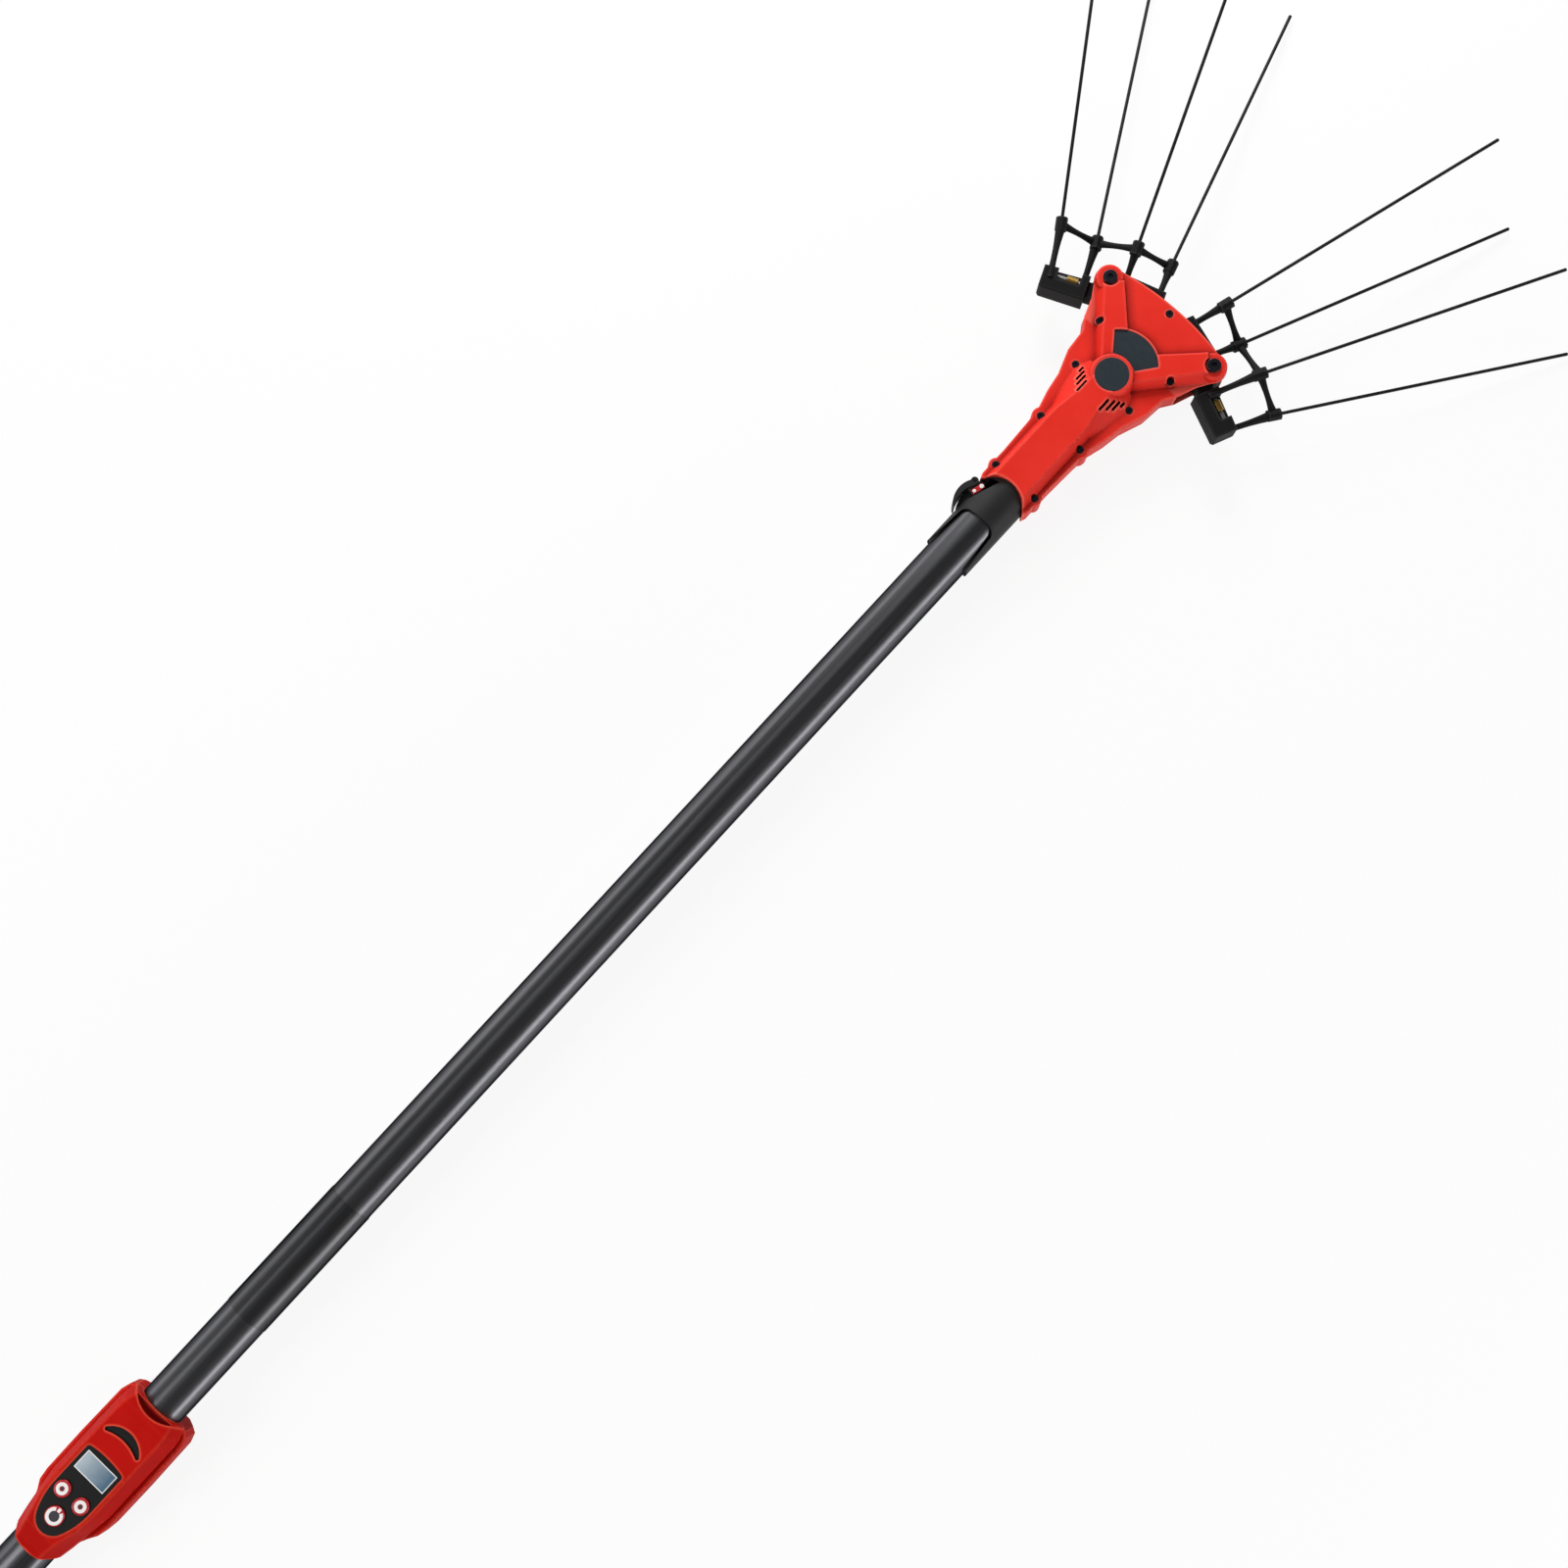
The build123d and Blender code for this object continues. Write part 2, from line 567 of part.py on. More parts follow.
# Corner bolts carry the rakes, held by nuts sunk into the back half.
with BuildPart() as bolts:
    with BuildSketch(Plane.XY.offset(CHEEK_Z)):
        with Locations(*CORNERS):
            Circle(BOLT_HEAD_R)
    extrude(amount=3.0)
    fillet(bolts.edges().group_by(Axis.Z)[-1], 0.8)
    with BuildSketch(Plane.XY.offset(CHEEK_Z + 1.0)):
        with Locations(*CORNERS):
            RegularPolygon(2.9, 6)
    extrude(amount=4.0, mode=Mode.SUBTRACT)
    with BuildSketch(Plane.XY.offset(CHEEK_Z)):
        with Locations(*CORNERS):
            Circle(BOLT_R - RUN_FIT)
    extrude(amount=-CHEEK_Z - NUT_Z - NUT_T)
finish(bolts, "pivot_bolts")

with BuildPart() as nuts:
    with BuildSketch(Plane.XY.offset(-NUT_Z)):
        with Locations(*CORNERS):
            RegularPolygon(NUT_R, 6)
            Circle(BOLT_R, mode=Mode.SUBTRACT)
    extrude(amount=-NUT_T)
finish(nuts, "pivot_nuts")

# Drive: motor along the neck, right-angle gear case, crank with an eccentric pin, yoke and its two pins.
with BuildPart() as motor:
    with BuildSketch(up_pole(MOTOR_Y)):
        Circle(MOTOR_R)
    extrude(amount=MOTOR_LEN)
    fillet(motor.edges(), 1.5)
    with BuildSketch(up_pole(COLLAR_Y)):
        Circle(GLAND_R - 1.5)
    extrude(amount=MOTOR_Y - COLLAR_Y)
finish(motor, "drive_motor")

with BuildPart() as gear_case:
    with BuildSketch(Plane.XY.offset(CASE_LOW)):
        with Locations((0, (CASE_FROM + CASE_TO) / 2)):
            RectangleRounded(2 * MOTOR_R, CASE_TO - CASE_FROM, 6.0)
    extrude(amount=CASE_TOP - CASE_LOW)
    with BuildSketch(Plane.XY.offset(CASE_TOP)):
        with Locations((0, BOSS_Y)):
            Circle(SHAFT_R + 3.0)
    extrude(amount=1.4)
    with BuildSketch(Plane.XY.offset(CASE_TOP)):
        with Locations((0, BOSS_Y)):
            Circle(SHAFT_R)
    extrude(amount=CRANK_TOP - CASE_TOP - CRANK_WEB - SLIDE_GAP)
finish(gear_case, "gear_case")

with BuildPart() as crank:
    with BuildSketch(Plane.XY.offset(CASE_TOP + 1.9)):
        with Locations((0, BOSS_Y)):
            Circle(CRANK_R)
        with Locations((-CRANK_R + 4.0, BOSS_Y)):
            Circle(2.0, mode=Mode.SUBTRACT)
    extrude(amount=CRANK_TOP - CASE_TOP - 1.9)
    with BuildSketch(Plane.XY.offset(CASE_TOP + 1.9)):
        with Locations((0, BOSS_Y)):
            Circle(SHAFT_R + RUN_FIT)
    extrude(amount=CRANK_TOP - CASE_TOP - 1.9 - CRANK_WEB, mode=Mode.SUBTRACT)
    with BuildSketch(Plane.XY.offset(CRANK_TOP)):
        with Locations((THROW, BOSS_Y)):
            Circle(CRANK_PIN_R)
    extrude(amount=YOKE_Z - CRANK_TOP - SLIDE_GAP)
finish(crank, "drive_crank")

with BuildPart() as yoke:
    with BuildSketch(Plane.XY.offset(YOKE_Z)):
        with Locations((0, (BOSS_Y + PIVOT_Y - 13.0) / 2)):
            RectangleRounded(13.0, PIVOT_T - BOSS_T - 4.0, 4.0)
        with Locations((0, BOSS_Y)):
            RectangleRounded(2 * (THROW + CRANK_PIN_R) + 13.0, 2 * CRANK_PIN_R + 9.2, 5.0)
        Polygon(*at(both([(5.0, -31.0), (DRIVE_X + 2.0, -6.0), (DRIVE_X, 6.0), (4.0, -13.0)]), PIVOT_Y),
                align=None)
        with Locations((DRIVE_X, PIVOT_Y), (-DRIVE_X, PIVOT_Y)):
            Circle(PIN_R + 3.2)
            Circle(PIN_R, mode=Mode.SUBTRACT)
        with Locations((0, BOSS_Y)):
            SlotOverall(2 * (THROW + CRANK_PIN_R) + 7.0, 2 * CRANK_PIN_R + 1.2, mode=Mode.SUBTRACT)
    extrude(amount=YOKE_T)
finish(yoke, "drive_yoke")

with BuildPart() as yoke_pins:
    with BuildSketch(Plane.XY.offset(YOKE_Z + YOKE_T)):
        with Locations((DRIVE_X, PIVOT_Y), (-DRIVE_X, PIVOT_Y)):
            Circle(PIN_R)
    extrude(amount=-YOKE_T - YOKE_Z - RAKE_HALF + 3.0)
finish(yoke_pins, "yoke_pins")

# Right rake: hub, inner beam with the drive slot, outer block with its recess, fingers, knots and cross bar.
TOE_COS = math.cos(math.radians(TOE))
TOE_SIN = math.sin(math.radians(TOE))
RAKE = Plane(origin=(PIVOT_X, PIVOT_Y, 0), x_dir=(TOE_COS, -TOE_SIN, 0))
LUG = (-DRIVE_ARM * TOE_COS, -DRIVE_ARM * TOE_SIN)
LEANS = [1, -1, 1, -1]
FEET = [Vector(*rake_xy(x, y), z) for x, y, z in zip(BASE_X, BASE_Y, BASE_Z)]
KNOTS = [Vector(*rake_xy(x, KNOT_Y), KNOT_Z * lean) for x, lean in zip(KNOT_X, LEANS)]
WAYS = [rake_vec(fan, TINE_TILT * lean) for fan, lean in zip(FAN, LEANS)]
with BuildPart() as rake:
    with BuildSketch(RAKE.offset(-RAKE_HALF)):
        Circle(HUB_R)
        Polygon((KNOT_X[0] - 3.0, -3.0), (KNOT_X[0] - 3.0, 7.0), (-14.0, HUB_R - 1.0), (8.0, HUB_R - 3.0),
                (8.0, 3.0 - HUB_R), (-20.0, 3.0 - HUB_R), align=None)
        with Locations(LUG):
            Circle(PIN_R + 5.0)
    extrude(amount=2 * RAKE_HALF)
    with BuildSketch(RAKE.offset(-BLOCK_HALF)):
        Polygon((BLOCK_IN, BLOCK_LOW), (BLOCK_OUT - 2.0, BLOCK_LOW), (BLOCK_OUT, BLOCK_LOW + 2.0),
                (BLOCK_OUT, -3.0), (BLOCK_IN, -1.0), align=None)
    extrude(amount=2 * BLOCK_HALF)
    fillet(rake.faces().filter_by(Axis.Z).group_by(Axis.Z)[-1].edges(), 1.2)
    fillet(rake.faces().filter_by(Axis.Z).group_by(Axis.Z)[0].edges(), 1.2)
    with BuildSketch(RAKE.offset(-RAKE_HALF + 1.0)):
        with Locations((BLOCK_IN - 4.5, -HUB_R)):
            Rectangle(16.0, 14.0)
    extrude(amount=2 * RAKE_HALF - 2.0)
    # Fingers and the bars between their knots swell towards the knots, which lean out of plane by turns.
    for i in range(4):
        line = KNOTS[i] - FEET[i]
        for share, radius in ((0.0, FINGER_R + 0.4), (0.6, FINGER_R), (1.0, FINGER_R + FLARE)):
            with BuildSketch(Plane(origin=FEET[i] + line * share, z_dir=line)):
                Circle(radius)
        loft()
        with BuildSketch(Plane(origin=KNOTS[i] - WAYS[i] * KNOT_HALF, z_dir=WAYS[i])):
            RegularPolygon(KNOT_R, 8)
        extrude(amount=2 * KNOT_HALF)
    for i in range(3):
        line = KNOTS[i + 1] - KNOTS[i]
        for share, wide in ((0.0, BAR_R + FLARE), (0.5, BAR_R), (1.0, BAR_R + FLARE)):
            level = Plane(origin=KNOTS[i] + line * share, x_dir=(-line.Y, line.X, 0.0), z_dir=line)
            with BuildSketch(level):
                Ellipse(wide, BAR_R)
        loft()
    for i in range(4):
        with BuildSketch(Plane(origin=KNOTS[i] + WAYS[i] * (KNOT_HALF - SOCKET), z_dir=WAYS[i])):
            Circle(TINE_R)
        extrude(amount=SOCKET + 2.0, mode=Mode.SUBTRACT)
    # Hub bore for the bush, radial drive slot, open recess in the block and the clamp bolt's bore.
    with BuildSketch(RAKE.offset(-RAKE_HALF)):
        Circle(BUSH_R)
    extrude(amount=2 * RAKE_HALF, mode=Mode.SUBTRACT)
    with BuildSketch(Plane.XY.offset(-RAKE_HALF)):
        with Locations((PIVOT_X - DRIVE_ARM, PIVOT_Y)):
            SlotOverall(2 * PIN_R + 2.4, 2 * PIN_R + 2 * SLIDE_GAP)
    extrude(amount=2 * RAKE_HALF, mode=Mode.SUBTRACT)
    for face in (RAKE.offset(RECESS_WEB), RAKE.offset(-BLOCK_HALF)):
        with BuildSketch(face):
            with Locations((CLAMP_X + CLAMP_LEN / 2 + 0.5, RECESS_LOW / 2 + 1.5)):
                Rectangle(CLAMP_LEN - 5.0, 3.0 - RECESS_LOW)
        extrude(amount=BLOCK_HALF - RECESS_WEB, mode=Mode.SUBTRACT)
    with BuildSketch(Plane(origin=(*rake_xy(CLAMP_X, CLAMP_Y), 0.0), z_dir=rake_vec(90.0, 0.0))):
        Circle(CLAMP_R)
    extrude(amount=CLAMP_LEN, mode=Mode.SUBTRACT)
    with BuildSketch(Plane(origin=(*rake_xy(CLAMP_X + 5.0, CLAMP_Y), 0.0), z_dir=rake_vec(90.0, 0.0))):
        Circle(CLAMP_RING)
    extrude(amount=10.0, mode=Mode.SUBTRACT)
finish(rake, "right_rake_frame")

with BuildPart() as clamp:
    with BuildSketch(Plane(origin=(*rake_xy(CLAMP_X, CLAMP_Y), 0.0), z_dir=rake_vec(90.0, 0.0))):
        Circle(CLAMP_R)
    extrude(amount=CLAMP_LEN)
finish(clamp, "right_clamp_bolt")

with BuildPart() as sleeve_ring:
    with BuildSketch(Plane(origin=(*rake_xy(CLAMP_X + 5.0, CLAMP_Y), 0.0), z_dir=rake_vec(90.0, 0.0))):
        Circle(CLAMP_RING)
        Circle(CLAMP_R, mode=Mode.SUBTRACT)
    extrude(amount=10.0)
finish(sleeve_ring, "right_clamp_sleeve")

with BuildPart() as bush:
    with BuildSketch(RAKE.offset(-RAKE_HALF)):
        Circle(BUSH_R)
        Circle(BOLT_R, mode=Mode.SUBTRACT)
    extrude(amount=2 * RAKE_HALF)
finish(bush, "right_bush")

tines = []
for i in range(4):
    with BuildPart() as tine:
        with BuildSketch(Plane(origin=KNOTS[i] + WAYS[i] * (KNOT_HALF - SOCKET), z_dir=WAYS[i])):
            Circle(TINE_R)
        extrude(amount=SOCKET + TINE_LEN)
        fillet(tine.edges().group_by(Axis.Y)[-1], 1.0)
    finish(tine, "right_tine_" + str(i + 1))
    tines.append(tine)

# The left rake is the same moulding turned over about the pole, so its rods lean the other way.
TURNED = [(rake, "left_rake_frame"), (clamp, "left_clamp_bolt"), (sleeve_ring, "left_clamp_sleeve"),
          (bush, "left_bush")] + [(tine, "left_tine_" + str(i + 1)) for i, tine in enumerate(tines)]
for source, label in TURNED:
    with BuildPart() as turned:
        add(source.part.rotate(Axis.Y, 180))
    finish(turned, label)

# Neck sleeve: socket in the housing, notched mouth with two side arms along the pole, scooped left side.
with BuildPart() as sleeve:
    with BuildSketch(up_pole(SEAM_Y)):
        Circle(SLEEVE_R)
    extrude(amount=SPIGOT_Y - SEAM_Y)
    with BuildSketch(up_pole(ARM_Y)):
        Circle(SLEEVE_R)
        Rectangle(60.0, 18.0, mode=Mode.INTERSECT)
    extrude(amount=SEAM_Y - ARM_Y)
    with BuildSketch(up_pole(ARM_Y)):
        Circle(POLE_R + SEAT_GAP)
    extrude(amount=POLE_TOP - ARM_Y, mode=Mode.SUBTRACT)
    with BuildSketch(up_pole(POLE_TOP)):
        Circle(SLEEVE_R - SLEEVE_WALL)
    extrude(amount=SPIGOT_Y - POLE_TOP - SLEEVE_END, mode=Mode.SUBTRACT)
    with BuildSketch(up_pole(SPIGOT_Y - SLEEVE_END)):
        Circle(GLAND_R - 0.5)
    extrude(amount=SLEEVE_END, mode=Mode.SUBTRACT)
    with BuildSketch(Plane.XY.offset(SCOOP_Z)):
        Polygon(*at([(-2 * SLEEVE_R, -42.0), (1.0 - SLEEVE_R, -42.0), (14.5 - SLEEVE_R, -11.0),
                     (-2 * SLEEVE_R, -11.0)]), align=None)
    extrude(amount=40.0, mode=Mode.SUBTRACT)
    with BuildSketch(Plane.XY.offset(-30.0)):
        with Locations((SCREWS[0][0], Y_D), (-SCREWS[0][0], Y_D)):
            Circle(POST_R + 0.4)
    extrude(amount=60.0, mode=Mode.SUBTRACT)
    with BuildSketch(Plane.XY.offset(-LUG_HALF)):
        with Locations((LEVER_X, LEVER_Y)):
            Circle(3.6)
        with Locations((LEVER_X + 3.2, LEVER_Y)):
            Rectangle(6.4, 7.2)
    extrude(amount=2 * LUG_HALF)
    with BuildSketch(Plane.XY.offset(-LUG_HALF)):
        with Locations((LEVER_X, LEVER_Y)):
            Circle(LEVER_PIN_R)
    extrude(amount=2 * LUG_HALF, mode=Mode.SUBTRACT)
    with BuildSketch(Plane.XY.offset(BED_LOW)):
        Polygon(*lever_xy((5.6, -26.0), (2.2, -26.0), (0.2, -20.0), (-0.3, -14.0), (0.8, -8.0), (5.6, -8.0)),
                align=None)
    extrude(amount=SCOOP_Z - 1.6 - BED_LOW)
finish(sleeve, "neck_sleeve")

# Bow lever over the scoop, its pin, red pad and the pad's two rivets.
with BuildPart() as lever:
    with BuildSketch(Plane.XY.offset(-LEVER_HALF)):
        with BuildLine():
            ThreePointArc(*lever_xy((1.2, 3.4), (-6.2, -12.4), (1.0, -29.4)))
            Line(*lever_xy((1.0, -29.4), (2.8, -29.4)))
            ThreePointArc(*lever_xy((2.8, -29.4), (-1.2, -14.0), (3.0, -2.9)))
            Line(*lever_xy((3.0, -2.9), (1.2, 3.4)))
        make_face()
        with Locations((LEVER_X, LEVER_Y)):
            Circle(3.4)
    extrude(amount=2 * LEVER_HALF)
    with BuildSketch(Plane.XY.offset(-LUG_HALF - SLIDE_GAP)):
        with Locations((LEVER_X, LEVER_Y)):
            Circle(4.4)
        with Locations((LEVER_X + 5.0, LEVER_Y)):
            Rectangle(10.0, 8.8)
    extrude(amount=2 * LUG_HALF + 2 * SLIDE_GAP, mode=Mode.SUBTRACT)
    with BuildSketch(Plane.XY.offset(-LEVER_HALF)):
        with Locations((LEVER_X, LEVER_Y)):
            Circle(LEVER_PIN_R + RUN_FIT)
    extrude(amount=2 * LEVER_HALF, mode=Mode.SUBTRACT)
    with BuildSketch(Plane.XY.offset(SCOOP_Z + 0.8)):
        Polygon(*lever_xy((1.6, -9.6), (2.6, 1.2), (6.2, 2.7), (10.6, 1.6), (7.7, -9.9)), align=None)
    extrude(amount=PAD_Z - SCOOP_Z - 0.8)
finish(lever, "lock_lever")

with BuildPart() as lever_pin:
    with BuildSketch(Plane.XY.offset(-LEVER_HALF)):
        with Locations((LEVER_X, LEVER_Y)):
            Circle(LEVER_PIN_R)
    extrude(amount=2 * LEVER_HALF)
finish(lever_pin, "lever_pin")

with BuildPart() as pad:
    with BuildSketch(Plane.XY.offset(PAD_Z)):
        Polygon(*lever_xy((10.6, 1.6), (6.2, 2.7), (3.3, -8.7), (7.7, -9.9)), align=None)
    extrude(amount=PAD_T)
finish(pad, "lever_pad")

with BuildPart() as rivets:
    for x, y, radius in RIVETS:
        with BuildSketch(Plane.XY.offset(PAD_Z + PAD_T)):
            with Locations(*lever_xy((x, y))):
                Circle(radius)
        extrude(amount=1.0)
    fillet(rivets.edges().group_by(Axis.Z)[-1], 0.6)
finish(rivets, "pad_rivets")

# Pole from butt to neck, flush band above the control box, cable inside, butt cap and power socket.
with BuildPart() as pole:
    with BuildSketch(up_pole(CAP_WALL)):
        Circle(POLE_R)
        Circle(POLE_R - POLE_WALL, mode=Mode.SUBTRACT)
    extrude(amount=POLE_TOP - CAP_WALL)
finish(pole, "pole_tube")

with BuildPart() as band:
    with BuildSketch(up_pole(BAND_Y)):
        Circle(POLE_R + 0.4)
        Circle(POLE_R, mode=Mode.SUBTRACT)
    extrude(amount=BAND_SPAN)
finish(band, "pole_band")

with BuildPart() as cable:
    with BuildSketch(up_pole(SOCKET_DEEP + SOCKET_BACK)):
        Circle(CABLE_R)
    extrude(amount=COLLAR_Y - SOCKET_DEEP - SOCKET_BACK)
finish(cable, "pole_cable")

with BuildPart() as cap:
    with BuildSketch(up_pole(0.0)):
        Circle(CAP_R)
    extrude(amount=CAP_LEN)
    with BuildSketch(up_pole(CAP_WALL)):
        Circle(POLE_R)
    extrude(amount=CAP_LEN, mode=Mode.SUBTRACT)
    with BuildSketch(up_pole(0.0)):
        Circle(SOCKET_R + 2.0)
    extrude(amount=CAP_WALL, mode=Mode.SUBTRACT)
finish(cap, "butt_cap")

with BuildPart() as socket:
    with BuildSketch(up_pole(0.0)):
        Circle(SOCKET_R + 2.0)
        Circle(SOCKET_R, mode=Mode.SUBTRACT)
    extrude(amount=SOCKET_DEEP)
    with BuildSketch(up_pole(SOCKET_DEEP)):
        Circle(SOCKET_R + 2.0)
    extrude(amount=SOCKET_BACK)
finish(socket, "power_socket")

# Control box base: sections along the pole, wide and flat below so that the tool lies steady, open on top.
with BuildPart() as base:
    for t, half, foot, low in BASE_RIBS:
        with BuildSketch(station(t)) as rib:
            Polygon((-half, SPLIT_Z), (half, SPLIT_Z), (half, low + 8.0), (foot, low), (-foot, low),
                    (-half, low + 8.0), align=None)
            fillet(rib.vertices().group_by(Axis.Z)[-1], RIM_ROUND)
    loft(ruled=True)
    with BuildSketch(Plane.XY.offset(Z_REST + 2 * WALL)):
        with Locations((0, Y_BOX - 56.0)):
            Rectangle(2 * (BASE_W - 13.0), 84.0)
    extrude(amount=80.0, mode=Mode.SUBTRACT)
    with BuildSketch(Plane.XY.offset(Z_REST + 1.0)):
        with Locations(*BOX_POSTS):
            Circle(BOX_POST_R)
    extrude(amount=SPLIT_Z - Z_REST - 1.0)
    with BuildSketch(up_pole(Y_BOX - BOX_LEN - 20.0)):
        Circle(POLE_R + SEAT_GAP)
    extrude(amount=BOX_LEN + 40.0, mode=Mode.SUBTRACT)
    with BuildSketch(Plane.XY.offset(Z_REST)):
        with Locations(*BOX_POSTS):
            Circle(SCREW_R + 0.1)
    extrude(amount=60.0, mode=Mode.SUBTRACT)
    with BuildSketch(Plane.XY.offset(Z_REST)):
        with Locations(*BOX_POSTS):
            Circle(SCREW_HEAD_R + 0.2)
    extrude(amount=BOX_SINK, mode=Mode.SUBTRACT)
finish(base, "control_base")

# Control box cover: low arched mouth, flat crest with the crescent slot and fascia pocket, tail on the pole.
with BuildPart() as cover:
    for t, seam, shoulder, crest, top in COVER_RIBS:
        with BuildSketch(station(t)) as rib:
            Polygon((-seam, SPLIT_Z), (seam, SPLIT_Z), (shoulder, SHOULDER_Z), (crest, top), (-crest, top),
                    (-shoulder, SHOULDER_Z), align=None)
            fillet(rib.vertices().group_by(Axis.Z)[-1], CREST_ROUND)
    loft(ruled=True)
    with BuildSketch(Plane.XY.offset(SPLIT_Z)):
        Polygon(*box(both([(CREST_W - 4.0, 14.0), (CREST_W - 4.0, 94.0), (12.0, FASCIA_END)])), align=None)
    extrude(amount=COVER_Z - WALL - SPLIT_Z, mode=Mode.SUBTRACT)
    with BuildSketch(Plane.XY.offset(SPLIT_Z)):
        with Locations(*BOX_POSTS):
            Circle(SCREW_R + 0.1)
    extrude(amount=8.0, mode=Mode.SUBTRACT)
    with BuildSketch(up_pole(Y_BOX - BOX_LEN - 40.0)):
        Circle(POLE_R + SEAT_GAP)
    extrude(amount=BOX_LEN + 80.0, mode=Mode.SUBTRACT)
    with BuildSketch(Plane.XY.offset(POLE_R + WALL)):
        with Locations((0, Y_BOX + MOUTH_R - MOUTH_DEEP)):
            Circle(MOUTH_R)
    extrude(amount=20.0, mode=Mode.SUBTRACT)
    with BuildSketch():
        with Locations((0, Y_BOX - BOX_LEN + TAIL_R / 2)):
            Rectangle(4 * TAIL_R, TAIL_R)
        with Locations((0, Y_BOX - BOX_LEN + TAIL_R)):
            Circle(TAIL_R, mode=Mode.SUBTRACT)
            Rectangle(2 * TAIL_R, 4.0, mode=Mode.SUBTRACT)
    extrude(amount=60.0, mode=Mode.SUBTRACT)
    with BuildSketch(Plane.XY.offset(COVER_Z - 2.0)):
        add(CRESCENT_FACE)
    extrude(amount=5.0, mode=Mode.SUBTRACT)
    with BuildSketch(Plane.XY.offset(FASCIA_Z)):
        add(FASCIA_FACE)
    extrude(amount=10.0, mode=Mode.SUBTRACT)
    with BuildSketch(Plane.XY.offset(COVER_Z - 10.0)):
        add(inset(FASCIA_FACE, 1.2))
    extrude(amount=20.0, mode=Mode.SUBTRACT)
finish(cover, "control_cover")

with BuildPart() as crescent:
    with BuildSketch(Plane.XY.offset(COVER_Z - 2.0)):
        add(inset(CRESCENT_FACE, SEAT_GAP))
    extrude(amount=0.8)
finish(crescent, "crescent_inlay")

with BuildPart() as fascia:
    with BuildSketch(Plane.XY.offset(FASCIA_Z)):
        add(inset(FASCIA_FACE, SEAT_GAP))
        with Locations(*SMALL_BUTTONS):
            Circle(BUTTON_R + SLIDE_GAP, mode=Mode.SUBTRACT)
        with Locations(POWER_AT):
            Circle(POWER_R + SLIDE_GAP, mode=Mode.SUBTRACT)
        with Locations(LCD_AT):
            Rectangle(LCD_W, LCD_H, mode=Mode.SUBTRACT)
    extrude(amount=FASCIA_T)
finish(fascia, "control_fascia")

with BuildPart() as lcd:
    with BuildSketch(Plane.XY.offset(FASCIA_Z - 1.0)):
        with Locations(LCD_AT):
            Rectangle(LCD_W - 2 * SEAT_GAP, LCD_H - 2 * SEAT_GAP)
    extrude(amount=FASCIA_T + 0.7)
finish(lcd, "display_panel")

with BuildPart() as board:
    with BuildSketch(Plane.XY.offset(BOARD_Z)):
        with Locations((0, Y_BOX - (FASCIA_TOP + FASCIA_END) / 2)):
            Rectangle(25.0, FASCIA_END - FASCIA_TOP - 10.0)
    extrude(amount=BOARD_T)
finish(board, "circuit_board")

KEYS = [(SMALL_BUTTONS[0], BUTTON_R, "button_minus"), (SMALL_BUTTONS[1], BUTTON_R, "button_plus"),
        (POWER_AT, POWER_R, "button_power")]
for spot, radius, label in KEYS:
    with BuildPart() as button:
        with BuildSketch(Plane.XY.offset(FASCIA_Z - 0.4)):
            with Locations(spot):
                Circle(radius)
        extrude(amount=FASCIA_T + BUTTON_UP + 0.4)
        fillet(button.edges().group_by(Axis.Z)[-1], 0.7)
        with BuildSketch(Plane.XY.offset(FASCIA_Z - 0.4)):
            with Locations(spot):
                Circle(2.2)
        extrude(amount=-(FASCIA_Z - 0.4 - BOARD_Z - BOARD_T - BUTTON_TRAVEL - SLIDE_GAP))
    finish(button, label)

with BuildPart() as box_screws:
    with BuildSketch(Plane.XY.offset(Z_REST + BOX_SINK - 2.4)):
        with Locations(*BOX_POSTS):
            Circle(SCREW_HEAD_R)
    extrude(amount=2.4)
    with BuildSketch(Plane.XY.offset(Z_REST + BOX_SINK)):
        with Locations(*BOX_POSTS):
            Circle(SCREW_R)
    extrude(amount=SPLIT_Z - Z_REST - BOX_SINK + 3.0)
finish(box_screws, "control_screws")
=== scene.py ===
# %% [markdown]
# # An electric olive harvester, dressed for its picture
# The solids of this tool come ready made: a long pole, a red split head with two swinging rakes,
# and a red control box. This lesson adds what the solids don't carry: the finish of every surface,
# the broad arms of the neck sleeve, the printed marks on the buttons, the display's border, the
# light and the camera.

# %% Load the frame
from math import pi

import bmesh
import bpy
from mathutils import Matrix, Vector


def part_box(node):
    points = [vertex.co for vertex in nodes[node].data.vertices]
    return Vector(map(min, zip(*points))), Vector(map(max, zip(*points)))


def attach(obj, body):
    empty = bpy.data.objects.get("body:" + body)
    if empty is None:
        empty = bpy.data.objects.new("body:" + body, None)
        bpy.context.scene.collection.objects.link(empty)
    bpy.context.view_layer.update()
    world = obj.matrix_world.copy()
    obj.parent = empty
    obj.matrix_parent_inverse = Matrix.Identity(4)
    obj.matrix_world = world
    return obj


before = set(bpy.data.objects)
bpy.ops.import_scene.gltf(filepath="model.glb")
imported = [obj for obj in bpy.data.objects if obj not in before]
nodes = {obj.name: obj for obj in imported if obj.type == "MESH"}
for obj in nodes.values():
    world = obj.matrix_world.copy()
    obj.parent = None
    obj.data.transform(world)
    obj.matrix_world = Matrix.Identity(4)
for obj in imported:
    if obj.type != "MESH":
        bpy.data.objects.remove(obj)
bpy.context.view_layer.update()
bpy.ops.object.select_all(action="DESELECT")


# %% [markdown]
# ## Camera
# The photograph looks down on the tool from about a metre and three quarters, a little nearer the
# handle than the head, with a normal lens. A camera placed by position and turn is plain to read;
# the numbers come from matching the housing screws and the display to the photograph.

